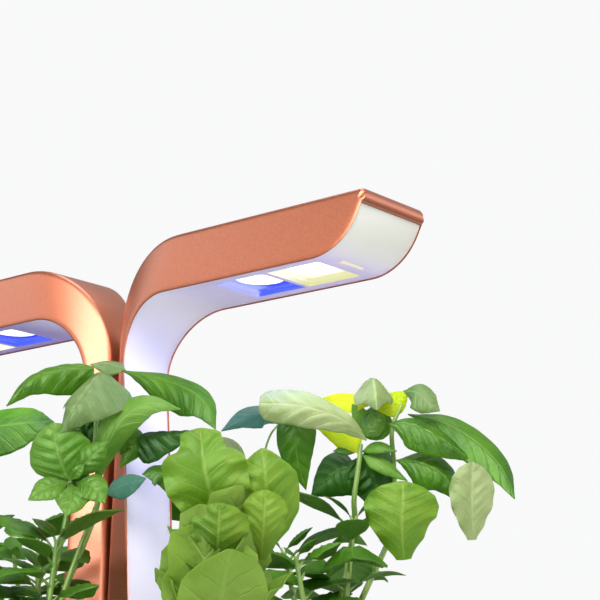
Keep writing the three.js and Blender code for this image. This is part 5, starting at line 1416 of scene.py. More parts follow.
BLADES = {
    "basil": Blade(BASIL_WIDTHS, -0.2, 0.22, 1.5, 6.0, 0.42, 0.03, 3, 0.4),
    "puckered": Blade(BASIL_WIDTHS, -0.15, 0.3, 2.4, 5.0, 0.42, 0.05, 2.5, 0.4),
    "smooth": Blade(BASIL_WIDTHS, -0.2, 0.2, 0.7, 7.0, 0.42, 0.02, 2, 0.4),
    "lettuce": Blade(LETTUCE_WIDTHS, 0.12, -0.05, 1.4, 6.0, 0.5, 0.16, 4.5, 0.35),
    "broad": Blade(BROAD_WIDTHS, -0.15, 0.26, 2.2, 5.0, 0.3, 0.04, 2.5, 0.4),
    "oval": Blade(OVAL_WIDTHS, -0.1, 0.24, 1.6, 5.0, 0.42, 0.05, 2.5, 0.4),
    "blunt": Blade(BLUNT_WIDTHS, -0.15, 0.2, 1.6, 5.0, 0.42, 0.04, 2, 0.4),
    "round": Blade(ROUND_WIDTHS, 0.1, 0.15, 1.3, 6.0, 0.55, 0.1, 3.5, 0.35),
}

# Leaves that the picture shows, by plant. Each has its finish and blade, half width in mm and fold,
# the ways that it faces at the stalk and at the tip as (right, up, towards), and the spine from stalk
# to tip as (across, down, nearer), the first two in pixels and the last in mm towards the camera.
SEEN_LEAVES = {
    "front_centre": (
        ("basil", "broad", 14, -0.55, (0, 0.6, 0.8), (-0.2, 0.5, 0.85),
         ((94, 368, 0), (62, 370, 8), (29, 381, 14), (6, 406, 18))),
        ("pale", "broad", 24, -0.4, (-0.35, 0.45, 0.8), (-0.35, 0.25, 0.9),
         ((101, 372, 8), (88, 387, 24), (75, 406, 34), (60, 433, 34))),
        ("pale", "smooth", 7, -0.3, (0, 0.75, 0.66), (0, 0.75, 0.66),
         ((126, 370, -8), (110, 364, -12), (90, 364, -12))),
        ("basil", "basil", 15, -0.5, (0, 0.6, 0.8), (0.5, 0.3, 0.8),
         ((122, 370, -6), (158, 378, 6), (186, 388, 18), (206, 404, 28), (216, 429, 34))),
        ("fresh", "smooth", 10.5, -0.25, (0.3, 0.2, 0.93), (0, 0.6, 0.8),
         ((97, 486, 16), (106, 450, 22), (122, 419, 26), (149, 403, 28), (181, 409, 28))),
        ("fresh", "oval", 20, -0.15, (-0.1, 0.2, 0.97), (-0.1, 0.3, 0.95),
         ((69, 480, 28), (59, 456, 34), (52, 423, 34))),
        ("dark", "oval", 11, 0.1, (0, 0.4, 0.9), (0, 0.4, 0.9),
         ((88, 502, 8), (78, 488, 10), (64, 472, 10))),
        ("dark", "oval", 10, 0.1, (0, 0.2, 0.97), (0, 0.2, 0.97),
         ((100, 472, -2), (94, 450, -4), (86, 430, -4), (84, 416, -4))),
        ("fresh", "puckered", 8.5, -0.1, (0.2, 0.3, 0.93), (0.2, 0.4, 0.9),
         ((73, 478, 30), (90, 458, 36), (108, 441, 36))),
        ("fresh", "puckered", 9, 0.15, (-0.1, 0.6, 0.8), (-0.1, 0.6, 0.8),
         ((68, 482, 32), (48, 487, 40), (28, 500, 44))),
        ("fresh", "puckered", 10, 0.1, (0.2, 0.5, 0.85), (0.2, 0.5, 0.85),
         ((76, 482, 32), (92, 486, 40), (105, 503, 44))),
        ("fresh", "puckered", 10, 0.1, (0, 0.6, 0.8), (0, 0.4, 0.9),
         ((72, 484, 34), (71, 498, 44), (66, 516, 50))),
        ("fresh", "puckered", 3.6, 0.3, (0.1, 0.3, 0.95), (0.1, 0.3, 0.95),
         ((71, 480, 34), (77, 472, 38), (84, 464, 38))),
        ("dark", "broad", 15, -0.62, (0, 0.75, 0.66), (0, 0.7, 0.7),
         ((131, 439, 4), (148, 435, 8), (172, 433, 14), (195, 430, 20))),
        ("basil", "basil", 10, -0.2, (0, 0.4, 0.9), (0.3, 0.2, 0.9),
         ((112, 440, 6), (122, 438, 8), (134, 445, 8), (120, 468, 10))),
        ("teal", "smooth", 8, -0.2, (0, 0.5, 0.85), (0, 0.5, 0.85),
         ((104, 494, 8), (122, 485, 12), (146, 478, 18))),
        ("basil", "smooth", 8, -0.2, (0, 0.6, 0.8), (0, 0.6, 0.8),
         ((172, 500, 14), (166, 478, 16), (154, 472, 16), (142, 474, 16))),
        ("basil", "basil", 9, 0.1, (0, 0.2, 0.97), (0, 0.2, 0.97),
         ((98, 452, -4), (98, 440, -6), (97, 420, -8), (99, 396, -8))),
    ),
    "rear_left": (
        ("basil", "smooth", 21, -0.25, (0, 0.6, 0.8), (0, 0.5, 0.86),
         ((-62, 446, -16), (-20, 430, -6), (20, 423, 6), (54, 422, 16))),
    ),
    "front_right": (
        ("lettuce", "lettuce", 23, 0.12, (0.05, 0.1, 1), (0, 0.3, 0.95),
         ((214, 545, 18), (211, 500, 30), (204, 465, 34), (200, 428, 26))),
        ("lettuce", "oval", 19, -0.1, (0.1, 0.1, 1), (0, 0.4, 0.9),
         ((270, 545, 18), (268, 505, 30), (265, 474, 34), (262, 448, 28))),
        ("lettuce", "round", 13, -0.1, (0, 0.1, 1), (0, 0.5, 0.85),
         ((262, 560, 30), (264, 525, 42), (266, 490, 44))),
        ("lettuce", "round", 17, -0.15, (0, 0.1, 1), (0, 0.5, 0.85),
         ((216, 570, 30), (218, 540, 44), (220, 503, 48))),
    ),
    "rear_right": (
        ("lettuce", "round", 23, -0.1, (0.05, 0.2, 1), (0, 0.6, 0.8),
         ((404, 560, 30), (402, 520, 36), (403, 481, 34))),
        ("cream", "round", 14, 0.1, (0.1, 0.15, 1), (0, 0.4, 0.9),
         ((472, 540, 20), (472, 505, 22), (472, 462, 20))),
        ("cream", "blunt", 12, -0.2, (0, 0.65, 0.76), (0, 0.35, 0.93),
         ((367, 440, 8), (344, 420, 14), (303, 406, 18), (259, 403, 14))),
        ("basil", "basil", 12.5, -0.1, (-0.2, 0.1, 1), (0.1, 0, 1),
         ((308, 396, 6), (297, 424, 10), (297, 455, 8), (306, 490, 4))),
        ("lit", "smooth", 9, -0.1, (0, 0.4, 0.9), (0, 0.3, 0.95),
         ((360, 454, -2), (344, 434, -6), (314, 424, -8))),
        ("lit", "smooth", 7, 0.1, (0, 0.5, 0.85), (0, 0.5, 0.85),
         ((368, 406, -10), (346, 402, -14), (321, 398, -16))),
        ("cream", "basil", 15, -0.6, (0, 0.9, 0.4), (0, 0.2, 1),
         ((374, 383, -22), (373, 378, -6), (375, 392, 12), (377, 410, 18))),
        ("lit", "smooth", 8, -0.1, (-0.2, 0.3, 0.93), (0, 0.4, 0.9),
         ((378, 411, -6), (393, 403, -8), (408, 391, -8))),
        ("pale", "basil", 9.5, -0.25, (0, 0.4, 0.9), (0.2, 0.2, 0.95),
         ((403, 391, -8), (416, 392, -2), (428, 402, 4), (440, 411, 6))),
        ("basil", "basil", 13.5, -0.5, (0, 0.65, 0.76), (0.1, 0.55, 0.83),
         ((387, 423, 2), (411, 424, 6), (442, 439, 10), (474, 461, 10))),
        ("basil", "smooth", 13, -0.3, (0, 0.6, 0.8), (0.3, 0.5, 0.8),
         ((408, 414, -16), (443, 422, -4), (477, 443, 8), (502, 469, 17), (515, 499, 24))),
        ("basil", "basil", 14, -0.35, (0, 0.5, 0.86), (0.2, 0.4, 0.9),
         ((396, 460, -4), (420, 463, 2), (444, 476, 5), (459, 501, 5))),
        ("dark", "basil", 17, -0.3, (0, 0.5, 0.86), (-0.2, 0.4, 0.9),
         ((358, 465, -9), (336, 472, -10), (311, 496, -12))),
        ("dark", "broad", 21, -0.2, (0, 0.4, 0.9), (0.2, 0.3, 0.9),
         ((360, 456, -8), (374, 480, -9), (380, 516, -10))),
        ("basil", "smooth", 4.6, -0.2, (0, 0.6, 0.8), (0, 0.6, 0.8),
         ((361, 452, -2), (378, 446, 0), (397, 451, 2))),
        ("fresh", "smooth", 5.5, -0.2, (0, 0.5, 0.86), (0, 0.5, 0.86),
         ((362, 455, -2), (380, 463, 0), (408, 481, 2))),
        ("basil", "smooth", 3.6, -0.2, (0, 0.6, 0.8), (0, 0.6, 0.8),
         ((357, 452, -4), (345, 449, -4), (333, 451, -4))),
        ("fresh", "oval", 7, -0.1, (0, 0.3, 0.95), (0, 0.3, 0.95),
         ((366, 436, -6), (374, 424, -6), (384, 412, -8))),
        ("fresh", "smooth", 6, -0.1, (0, 0.3, 0.95), (0, 0.3, 0.95),
         ((368, 432, -10), (362, 418, -10), (352, 404, -10))),
        ("basil", "oval", 10, -0.1, (0, 0.3, 0.95), (0, 0.3, 0.95),
         ((380, 440, -12), (377, 424, -12), (379, 404, -12))),
    ),
    "rear_centre": (
        ("teal", "smooth", 9.5, -0.3, (0, 0.6, 0.8), (-0.1, 0.5, 0.86),
         ((279, 424, -4), (266, 414, 0), (244, 416, 4), (221, 431, 6))),
        ("cream", "smooth", 4.5, 0.1, (0, 0.5, 0.86), (0, 0.5, 0.86),
         ((247, 461, 0), (232, 446, 2), (214, 436, 2))),
    ),
}

# Stems that the picture shows: plant, places like those on a leaf's spine, and the radius in mm.
SEEN_STEMS = (
    ("front_centre", ((97, 508, 6), (95, 452, 2), (97, 410, 0), (100, 374, 0)), 1.5),
    ("front_centre", ((66, 520, 16), (68, 500, 20), (70, 481, 27)), 1.6),
    ("front_centre", ((98, 500, 10), (98, 486, 14), (97, 480, 16)), 1.2),
    ("rear_right", ((354, 530, 0), (354, 500, 2), (358, 470, 2), (361, 444, 0)), 1.7),
    ("rear_right", ((392, 530, -16), (394, 470, -14), (392, 430, -8), (402, 404, -8)), 1.6),
    ("rear_left", ((-20, 560, -8), (-46, 500, -12), (-62, 446, -16)), 1.9),
    ("rear_centre", ((262, 520, -4), (264, 460, -4), (270, 436, -4), (279, 424, -4)), 0.8),
)



# How each plant grows: its kind, the share of the room under the lamps that it fills, and its turn.
PLANTS = {
    "front_left": ("basil", 0.5, 0.4),
    "front_centre": ("basil", 0.46, 0.2),
    "front_right": ("lettuce", 0.55, 0.9),
    "rear_left": ("basil", 0.55, 2.9),
    "rear_centre": ("basil", 0.58, 1.4),
    "rear_right": ("basil", 0.53, 0.7),
}
# A basil stem has a turn, a lean and a share of the height. A pair of leaves has a place up the stem, a
# share of the full size and a slope.
BASIL_STEMS = ((0, 0.1, 1), (2.2, 0.4, 0.86), (4.3, 0.44, 0.78))
BASIL_PAIRS = ((0.52, 0.9, 0.35), (0.74, 1, 0.6), (0.93, 0.7, 1))
YOUNG_PAIRS = ((0.34, 0.5, 0.3), (0.64, 0.5, 0.8), (0.85, 0.5, 0.9), (0.98, 0.34, 1.3))
# The plain leaves' widths as shares, at shares of their length.
PLAIN_WIDTHS = {
    "basil": ((0.2, 0.07), (0.44, 0.98), (0.72, 0.8), (1, 0.05)),
    "lettuce": ((0.25, 0.24), (0.55, 0.8), (0.82, 1), (1, 0.5)),
}
DROOPS = {"basil": 1.1, "lettuce": 0.45}
STALK_SHARES = {"basil": 0.17, "lettuce": 0.04}
# Where room is short, a leaf shrinks in steps down to the least scale. Each leaf tilts at random.
LEAST_SCALE = 0.35
SCALE_STEP = 0.93
LEAF_TILT = 0.16


def drooping(kind, share):
    """A place on a unit leaf that starts level and bends over."""
    droop = DROOPS[kind]
    return Vector((math.sin(droop * share) / droop, 0, (math.cos(droop * share) - 1) / droop))


class Growth:
    """Where the repeated leaves and the stalks of one plant stand."""

    def __init__(self, name, sizes):
        self.kind, self.fill, self.turn = PLANTS[name]
        self.sizes = sizes
        self.random = random.Random(f"{name} {sizes.seed}")
        row, column = name.split("_")
        self.root = mid("pod_collar_" + name)
        self.root.z = high("pod_cup_" + name).z - sizes.root_depth / MM
        self.ceiling = low("lamp_window_right").z - sizes.headroom / MM
        gap, half_way = sizes.margin / MM, mid("pod_collar_rear_right").x / 2
        split = half_way + (sizes.split_shift / MM if row == "front" else 0)
        far = high("arm_shell_right").x - sizes.tip_gap / MM
        side = high("outer_shell").y + sizes.overhang / MM
        near = high("arm_shell_right").y - sizes.under_head / MM if column == "centre" else gap
        self.low, self.high = Vector((-far, -side, 0)), Vector((far, side, self.ceiling))
        if row == "front":
            self.high.y = -near
        else:
            self.low.y = near
        if column == "left":
            self.high.x = -half_way - gap
        elif column == "right":
            self.low.x = split + gap
        else:
            self.low.x, self.high.x = -half_way + gap, split - gap
        self.leaves, self.stalks = [], []

    def holds(self, point):
        return all(least < value < most for least, value, most in zip(self.low, point, self.high))

    def grow_leaf(self, base, azimuth, rise, length, width):
        """Adds a leaf, smaller where room is short, or none."""
        level = math.cos(rise)
        direction = Vector((math.cos(azimuth) * level, math.sin(azimuth) * level, math.sin(rise)))
        side = Vector((-direction.y, direction.x, 0)).normalized()
        lay = Matrix((direction, side, direction.cross(side))).transposed()
        scale = 1.0
        while scale > LEAST_SCALE:
            edges = []
            for share, wide in PLAIN_WIDTHS[self.kind]:
                rib = base + (lay @ drooping(self.kind, share)) * length * scale
                edges += [rib + side * hand * width * scale * wide / 2 for hand in (-1, 1)]
            if all(self.holds(edge) for edge in edges):
                break
            scale *= SCALE_STEP
        else:
            return
        start = base + (lay @ drooping(self.kind, STALK_SHARES[self.kind] + 0.04)) * length * scale
        tilt = Matrix.Rotation(self.random.uniform(-LEAF_TILT, LEAF_TILT), 3, "X")
        self.leaves.append((base, (lay @ tilt).to_euler(), length * scale, self.random.randrange(3)))
        self.stalks.append(([base, base.lerp(start, 0.5), start], [1.1, 0.85, 0.7]))

    def basil(self):
        height = (self.ceiling - self.root.z) * self.fill
        for number, (turn, lean, share) in enumerate(BASIL_STEMS):
            azimuth = turn + self.turn
            outward = Vector((math.cos(azimuth), math.sin(azimuth), 0))
            foot = self.root + outward * self.sizes.stem_spacing / MM
            tip = foot + outward * math.tan(lean) * height * share + Vector((0, 0, height * share))
            margin = self.sizes.stem_radius / MM
            tip.x = min(max(tip.x, self.low.x + margin), self.high.x - margin)
            tip.y = min(max(tip.y, self.low.y + margin), self.high.y - margin)
            for k, (place, size, rise) in enumerate(BASIL_PAIRS + YOUNG_PAIRS):
                base, turned_to = foot.lerp(tip, place), azimuth + (k + number / 2) * QUARTER
                length, width = self.sizes.basil_leaf * size / MM, self.sizes.basil_width * size / MM
                for hand in (0, math.pi):
                    self.grow_leaf(base, turned_to + hand, rise, length, width)
            path = [foot.lerp(tip, k / 8) for k in range(9)]
            self.stalks.append((path, [between(2.6, 1.3, k / 8) for k in range(9)]))

    def lettuce(self):
        crown = Vector((0, 0, self.sizes.crown / MM))
        height = (self.ceiling - self.root.z) * self.fill
        count = self.sizes.lettuce_leaves
        for k in range(count):
            share = k / (count - 1)
            size = between(0.74, 1, share)
            base, rise = self.root + crown * between(0.3, 0.8, share), between(1.3, 1.56, share)
            width = self.sizes.lettuce_width * size / MM
            self.grow_leaf(base, self.turn + k * SPIRAL, rise, height * size, width)
        base, width = self.root + crown * 0.6, self.sizes.lettuce_width * 0.6 / MM
        for k in range(count // 2):
            rise = between(0.5, 1.2, 2 * k / count)
            self.grow_leaf(base, self.turn + (k + 0.5) * SPIRAL, rise, height * 0.5, width)
        self.stalks.append(([self.root, self.root + crown / 2, self.root + crown], [6.5, 5, 2.6]))


# The leaves that the plants repeat: blade, sway to the side, half width and fold. They are made at
# this length in millimetres, and each point gives its leaf's own size.
MOULDS = {
    "basil": (("basil", 0, 0.29, -0.2), ("puckered", -0.04, 0.3, -0.3), ("smooth", 0.05, 0.27, 0.15)),
    "lettuce": (("lettuce", 0.03, 0.26, 0.2), ("round", -0.03, 0.27, 0.14), ("lettuce", -0.02, 0.25, 0.26)),
}
MOULD_SIZE = 60


def leaf_moulds(kind):
    """A group of leaves along X, one for each row of the kind's moulds."""
    group = bpy.data.collections.new("leaf_moulds")
    bpy.context.scene.collection.children.link(group)
    facings = (Vector((0, 0, 1)), Vector((1, 0, 1)))
    for number, (blade, sway, half, fold) in enumerate(MOULDS[kind]):
        spine = []
        for k in range(5):
            place = drooping(kind, between(STALK_SHARES[kind], 1, k / 4))
            spine.append((place + Vector((0, sway * k * k / 16, 0))) * MOULD_SIZE)
        leaf = leaf_grid(spine, facings, half * MOULD_SIZE, BLADES[blade], fold, 14, 4, number * 2.1)
        mould = piece(f"mould_{number}", *leaf)
        bpy.context.scene.collection.objects.unlink(mould)
        group.objects.link(mould)
    return group


def leaf_tree(finish):
    """Repeats a leaf at every point, by the point's own turn, size and kind."""
    tree = bpy.data.node_groups.new("repeat_leaves", "GeometryNodeTree")
    face = tree.interface
    face.new_socket("Points", in_out="INPUT", socket_type="NodeSocketGeometry")
    face.new_socket("Leaves", in_out="INPUT", socket_type="NodeSocketCollection")
    for name, kind, value in (("Growth", "Float", 1.0), ("Sway", "Float", 0.06), ("Seed", "Int", 7)):
        face.new_socket(name, in_out="INPUT", socket_type="NodeSocket" + kind).default_value = value
    face.new_socket("Foliage", in_out="OUTPUT", socket_type="NodeSocketGeometry")

    def add(kind, sockets=None, **settings):
        return add_node(tree, kind, settings, sockets).outputs

    def named(name, data_type):
        return add("GeometryNodeInputNamedAttribute", {"Name": name}, data_type=data_type)[0]

    given = add("NodeGroupInput")
    turn = add("FunctionNodeEulerToRotation", {0: named("turn", "FLOAT_VECTOR")})
    size = add("ShaderNodeMath", {0: named("size", "FLOAT"), 1: given["Growth"]}, operation="MULTIPLY")
    back = add("ShaderNodeMath", {0: given["Sway"], 1: -1.0}, operation="MULTIPLY")
    limits = {0: back[0], 1: given["Sway"], "Seed": given["Seed"]}
    swaying = add("FunctionNodeRandomValue", limits, data_type="FLOAT_VECTOR")
    sway = add("FunctionNodeEulerToRotation", {0: swaying[0]})
    laid = add("FunctionNodeRotateRotation", {0: turn[0], 1: sway[0]}, rotation_space="LOCAL")
    leaves = add("GeometryNodeCollectionInfo", {
        "Collection": given["Leaves"], "Separate Children": True, "Reset Children": True,
    })
    spread = add("GeometryNodeInstanceOnPoints", {
        "Points": given["Points"], "Instance": leaves[0], "Pick Instance": True,
        "Instance Index": named("kind", "INT"), "Rotation": laid[0], "Scale": size[0],
    })
    real = add("GeometryNodeRealizeInstances", {0: spread[0]})
    coated = add("GeometryNodeSetMaterial", {"Geometry": real[0], "Material": finish})
    add("NodeGroupOutput", {0: coated[0]})
    return tree


def repeat_leaves(name, growth, tree, group, sizes):
    """The plant's lower foliage, as one plain mesh."""
    mesh = bpy.data.meshes.new(name)
    mesh.from_pydata([tuple(p * MM) for p, _, _, _ in growth.leaves], [], [])
    for key, kind, values, field in (
        ("turn", "FLOAT_VECTOR", [tuple(turn) for _, turn, _, _ in growth.leaves], "vector"),
        ("size", "FLOAT", [size / MOULD_SIZE for _, _, size, _ in growth.leaves], "value"),
        ("kind", "INT", [kind for _, _, _, kind in growth.leaves], "value"),
    ):
        layer = mesh.attributes.new(key, kind, "POINT")
        for item, value in zip(layer.data, values):
            setattr(item, field, value)
    obj = new_object(name, mesh)
    step = obj.modifiers.new("leaves", "NODES")
    step.node_group = tree
    sockets = {item.name: item.identifier for item in tree.interface.items_tree if item.in_out == "INPUT"}
    for socket, value in (
        ("Leaves", group), ("Growth", sizes.growth), ("Sway", sizes.sway), ("Seed", sizes.seed),
    ):
        step[sockets[socket]] = value
    return freeze(obj)


# The height in millimetres over each pod from which the picture's depths are counted.
DEPTH_HEIGHT = 250
# Steps along a leaf of the picture, and from its rib to its edge where it is wide or narrow.
LEAF_STEPS = 30
WIDE_LEAF = 9
WIDE_STEPS = 9
NARROW_STEPS = 6
STEM_STEPS = 22


def seen_path(name, spine):
    """The places of a spine of the picture, on the plant of one pod."""
    centre = mid("pod_collar_" + name)
    depth = VIEW.depth((centre.x, centre.y, DEPTH_HEIGHT))
    return [VIEW.place(across, down, depth - nearer) for across, down, nearer in spine]


def seen_foliage(name):
    """The leaves that the picture shows on one plant, gathered by their finish."""
    kinds = {}
    rows = [(plant, row) for plant, rows in SEEN_LEAVES.items() for row in rows]
    for number, (plant, (finish, blade, half, fold, *facings, spine)) in enumerate(rows):
        if plant != name:
            continue
        facings = [VIEW.direction(*facing) for facing in facings]
        across = WIDE_STEPS if half > WIDE_LEAF else NARROW_STEPS
        path, seed = seen_path(name, spine), number * 1.7
        leaf = leaf_grid(path, facings, half, BLADES[blade], fold, LEAF_STEPS, across, seed)
        kinds.setdefault(finish, Foliage()).add(*leaf)
    return kinds


def seen_stems(name):
    """The stems that the picture shows on one plant, each drawn on down to the middle of its pod."""
    root = mid("pod_collar_" + name)
    root.z = high("outer_shell").z - 1
    steps = [k / STEM_STEPS for k in range(STEM_STEPS + 1)]
    rods = []
    for plant, spine, radius in SEEN_STEMS:
        if plant != name:
            continue
        points = seen_path(name, spine)
        first = root + (points[0] - root) * 0.02 + Vector((0, 0, 2))
        second = root.lerp(points[0], 0.45) + Vector((0, 0, 12))
        line = [curve_through([first, second, *points], step) for step in steps]
        rods.append((line, [between(radius * 1.25, radius * 0.8, step) for step in steps]))
    return rods


# The plug, in millimetres: its gap in the basket, its rounded edge, how rough its side is, and how far
# its top goes down and up. Its sides are counted round the ring.
PLUG_GAP = 0.6
PLUG_EDGE = 1.2
SIDE_ROUGHNESS = 0.25
TOP_ROUGHNESS = (-0.7, 0.5)
PLUG_SIDES = 48


def grow_plug(name, sizes):
    """The plug that fills a basket, with a rough side and an uneven top."""
    centre = mid("pod_collar_" + name)
    bottom, top = low("pod_cup_" + name).z + 1.6, high("outer_shell").z - 0.9
    wall = sizes.pod_wall / MM + PLUG_GAP
    lower, upper = sizes.pod_floor_radius / MM - wall, sizes.pod_radius / MM - wall
    rand = random.Random(name)
    turns = [FULL * k / PLUG_SIDES for k in range(PLUG_SIDES)]
    rings = []
    for z, radius in (
        (bottom, lower),
        ((bottom + top) / 2, (lower + upper) / 2),
        (top - 1.5, upper),
        (top, upper - PLUG_EDGE),
    ):
        rings.append([
            (
                centre.x + (radius + rand.uniform(-SIDE_ROUGHNESS, 0)) * math.cos(turn),
                centre.y + (radius + rand.uniform(-SIDE_ROUGHNESS, 0)) * math.sin(turn),
                z,
            )
            for turn in turns
        ])
    for radius in ((upper - PLUG_EDGE) * share for share in (0.7, 0.4, 0.12)):
        rings.append([
            (
                centre.x + radius * math.cos(turn),
                centre.y + radius * math.sin(turn),
                top + rand.uniform(*TOP_ROUGHNESS),
            )
            for turn in turns
        ])
    return loft("plug_" + name, rings)


# Sizes and colours that a user would change
def amount(name, description, value, **limits):
    return FloatProperty(name=name, description=description, default=value, **limits)


def count(name, description, value, **limits):
    return IntProperty(name=name, description=description, default=value, **limits)


def length(name, description, millimetres):
    return amount(name, description, millimetres * MM, min=0, unit="LENGTH", precision=5)


def power(name, description, watts):
    return amount(name, description, watts, unit="POWER")


def shade(name, description, *parts):
    limits = {"size": 3, "min": 0, "max": 1, "subtype": "COLOR"}
    return FloatVectorProperty(name=name, description=description, default=tone(*parts)[:3], **limits)


class ArmSizes(bpy.types.PropertyGroup):
    leg_depth: length("Leg depth", "Depth of each leg at its foot, along the arm", 34.4)
    leg_front_width: length("Leg front width", "Width of the leg on its lit side", 40)
    leg_back_width: length("Leg back width", "Width of the leg on its back", 23)
    leg_front_top: length("Leg front at the bend", "Where the lit side would meet the head", 15.3)
    leg_back_top: length("Leg back at the bend", "Where the back would meet the top", 4.9)
    under_bend: length("Lower bend radius", "Radius of the bend on the lit side", 41)
    over_bend: length("Upper bend radius", "Radius of the bend on the outside", 66)
    tip_radius: length("Tip curve radius", "Radius of the upswept tip", 37.7)
    tip_angle: amount("Tip angle", "How far the tip sweeps up", math.radians(63.5), subtype="ANGLE")
    tip_flat: length("Tip flat", "Straight run after the tip curve", 7.5)
    nose_slope: length("Nose slope", "How far the top of the nose lies behind its bottom", 1.6)
    nose_bulge: length("Nose bulge", "How far the nose is rounded forward", 2.6)
    top_rise: length("Top rise", "How far the top lies over that of the plain solid", 1.3)
    wall: length("Wall", "Thickness of the metal cover", 2.4)
    rim: length("Rim", "Width of the cover's edge round the white face", 0.8)
    under_edge: length("Lower edge rounding", "How far the lower edge turns in", 0.7)
    edge_radius: length("Upper edge radius", "Radius of the long upper edges", 3.5)
    panel_recess: length("Face recess", "Depth of the white face below the rim", 0.8)
    panel_thickness: length("Face thickness", "Thickness of the white face", 2.2)
    tip_lip: length("Tip lip", "Cover left beyond the white face at the tip", 1.2)


class LampSizes(bpy.types.PropertyGroup):
    window: length("Window", "Side of each square lamp window", 39)
    window_radius: length("Window corner", "Corner radius of the windows", 3.5)
    tray_floor: length("Tray floor", "Thickness of the tray over the pockets", 1.2)
    tray_draft: length("Pocket draft", "How far the pocket walls lean in", 1)
    sensor_length: length("Sensor length", "Length of the light sensor's lens", 21)
    sensor_width: length("Sensor width", "Width of the light sensor's lens", 2.4)
    sensor_share: amount(
        "Sensor place", "Share of the tip curve at the sensor", 0.183, min=0, max=1, subtype="FACTOR"
    )
    glow: amount("Lamp glow", "Brightness of the lit discs", 1.0, min=0)


class TankSizes(bpy.types.PropertyGroup):
    flare: length("Flare", "How much the body narrows towards the table", 17)
    corner_radius: length("Corner radius", "Corner radius of the body at its rim", 78)
    shell_wall: length("Wall", "Thickness of the copper body", 2.6)
    slide_gap: length("Slide gap", "Gap round parts that lift out", 0.5)
    deck_sink: length("Deck sink", "Depth of the deck below the rim", 1.2)
    deck_thickness: length("Deck thickness", "Thickness of the white deck", 3)
    sleeve_depth: length("Sleeve depth", "Depth of the pod sleeves below the deck", 9)
    sleeve_wall: length("Sleeve wall", "Thickness of the sleeves", 1.6)
    well_length: length("Mast hole length", "Length of the hole for the mast", 47.6)
    well_depth: length("Mast hole depth", "Depth of the hole for the mast", 21.6)
    lid_length: length("Lid length", "Length of the filling lid", 26)
    lid_lap: length("Lid lap", "How far the lid lies over the hole's edge", 3)
    lid_thickness: length("Lid thickness", "Thickness of the lid", 1.5)
    knuckle_radius: length("Knuckle radius", "Radius of the lid's hinge knuckle", 1.8)
    float_stem: length("Float stem radius", "Radius of the level marker's stem", 3)
    float_crown: length("Float crown radius", "Radius of the level marker's crown", 5.5)
    float_height: length("Float height", "Height of the float's body", 16)
    mast_corner: length("Mast plate corner", "Corner radius of the plate round the mast", 16)
    foot_corner: length("Leg foot corner", "Corner radius of the legs' foot", 8)
    foot_height: length("Leg foot height", "Height of the legs' foot plate", 2.9)
    leg_back_width: length("Leg back width", "Width of the legs at their back", 23)


class PodSizes(bpy.types.PropertyGroup):
    pod_radius: length("Basket radius", "Radius of the basket at its rim", 20.4)
    pod_floor_radius: length("Basket floor radius", "Radius of the basket at its floor", 15.5)
    pod_wall: length("Basket wall", "Thickness of the basket", 1.3)
    flange: length("Flange", "Thickness of the basket's flange", 1.2)
    collar_hole: length("Collar hole", "Width of the growing hole in the collar", 25)


class PlantSizes(bpy.types.PropertyGroup):
    seed: count("Seed", "Which of many like plants is grown", 11, min=0)
    growth: amount("Growth", "Size of the repeated leaves", 1.0, min=0.2, max=1.3)
    sway: amount("Sway", "How much the repeated leaves turn at random", 0.06, subtype="ANGLE")
    margin: length("Margin", "Half of the gap between neighbouring plants", 1.5)
    headroom: length("Headroom", "From the lamp windows down to the highest leaf", 34.8)
    tip_gap: length("Tip gap", "From the arms' noses back to the outermost leaf", 2.5)
    overhang: length("Overhang", "How far the leaves reach past the tank's side", 16)
    under_head: length("Under the head", "How far the middle plants reach in under the lamp head", 3)
    split_shift: length("Split", "How far the front middle plant reaches past half way to the lettuce", 30)
    root_depth: length("Root depth", "From the cup's flange down to where the stems start", 4.2)
    stem_spacing: length("Stem spacing", "From the plant's middle to each stem's foot", 3.6)
    stem_radius: length("Stem radius", "At the foot of a basil stem", 2.6)
    basil_leaf: length("Basil leaf", "Length of a full-grown basil leaf with its stalk", 78)
    basil_width: length("Basil width", "Width of a full-grown basil leaf", 46)
    lettuce_width: length("Lettuce width", "Width of a full-grown lettuce leaf", 66)
    crown: length("Crown", "Height of the lettuce's crown", 14)
    lettuce_leaves: count("Lettuce leaves", "Full-grown leaves on the lettuce", 12, min=3, max=40)


class StageSizes(bpy.types.PropertyGroup):
    key: power("Key light", "Power of the main light", 15.0)
    fill: power("Fill light", "Power of the light from the left", 5.0)
    top: power("Top light", "Power of the light from above", 8.0)
    back: power("Back light", "Power of the light behind the leaves", 9.0)
    world: amount("Surroundings", "Strength of the pale surroundings", 0.5, min=0)
    backdrop: amount("Backdrop", "Brightness of the background itself", 0.955, min=0)
    shine_left: amount("Shine left", "Brightness mirrored from the left", 0.16, min=0)
    shine_right: amount("Shine right", "Brightness mirrored from the right", 0.9, min=0)
    shine_front: amount("Front panel", "Brightness mirrored from a panel in front", 11.0, min=0)
    shine_behind: amount("Back panel", "Brightness mirrored from a panel behind", 2.0, min=0)
    glow_drop: length("Glow drop", "From the lamp window down to the light that it throws", 3.8)
    blue: power("Blue lamp", "Power that each blue lamp throws down", 0.12)
    warm: power("Warm lamp", "Power that each warm lamp throws down", 0.1)
    floor: shade("Floor", "Colour of the plain floor", 238, 238, 240)


class FinishColours(bpy.types.PropertyGroup):
    white: shade("White plastic", "Deck, collars, lid and marker", 236, 236, 238)
    liner: shade("Tank liner", "Inner water tank", 210, 212, 216)
    basket: shade("Baskets", "Plant baskets", 108, 112, 118)
    dark: shade("Dark plastic", "Pump, bracket and base", 52, 54, 58)
    cable: shade("Cable", "Lamp wires and inlet", 30, 30, 32)
    metal: shade("Post metal", "Posts and springs", 198, 198, 202)
    basil: shade("Basil", "Upper side of the basil leaves", 90, 144, 20)
    lettuce: shade("Lettuce", "Upper side of the lettuce leaves", 130, 165, 44)


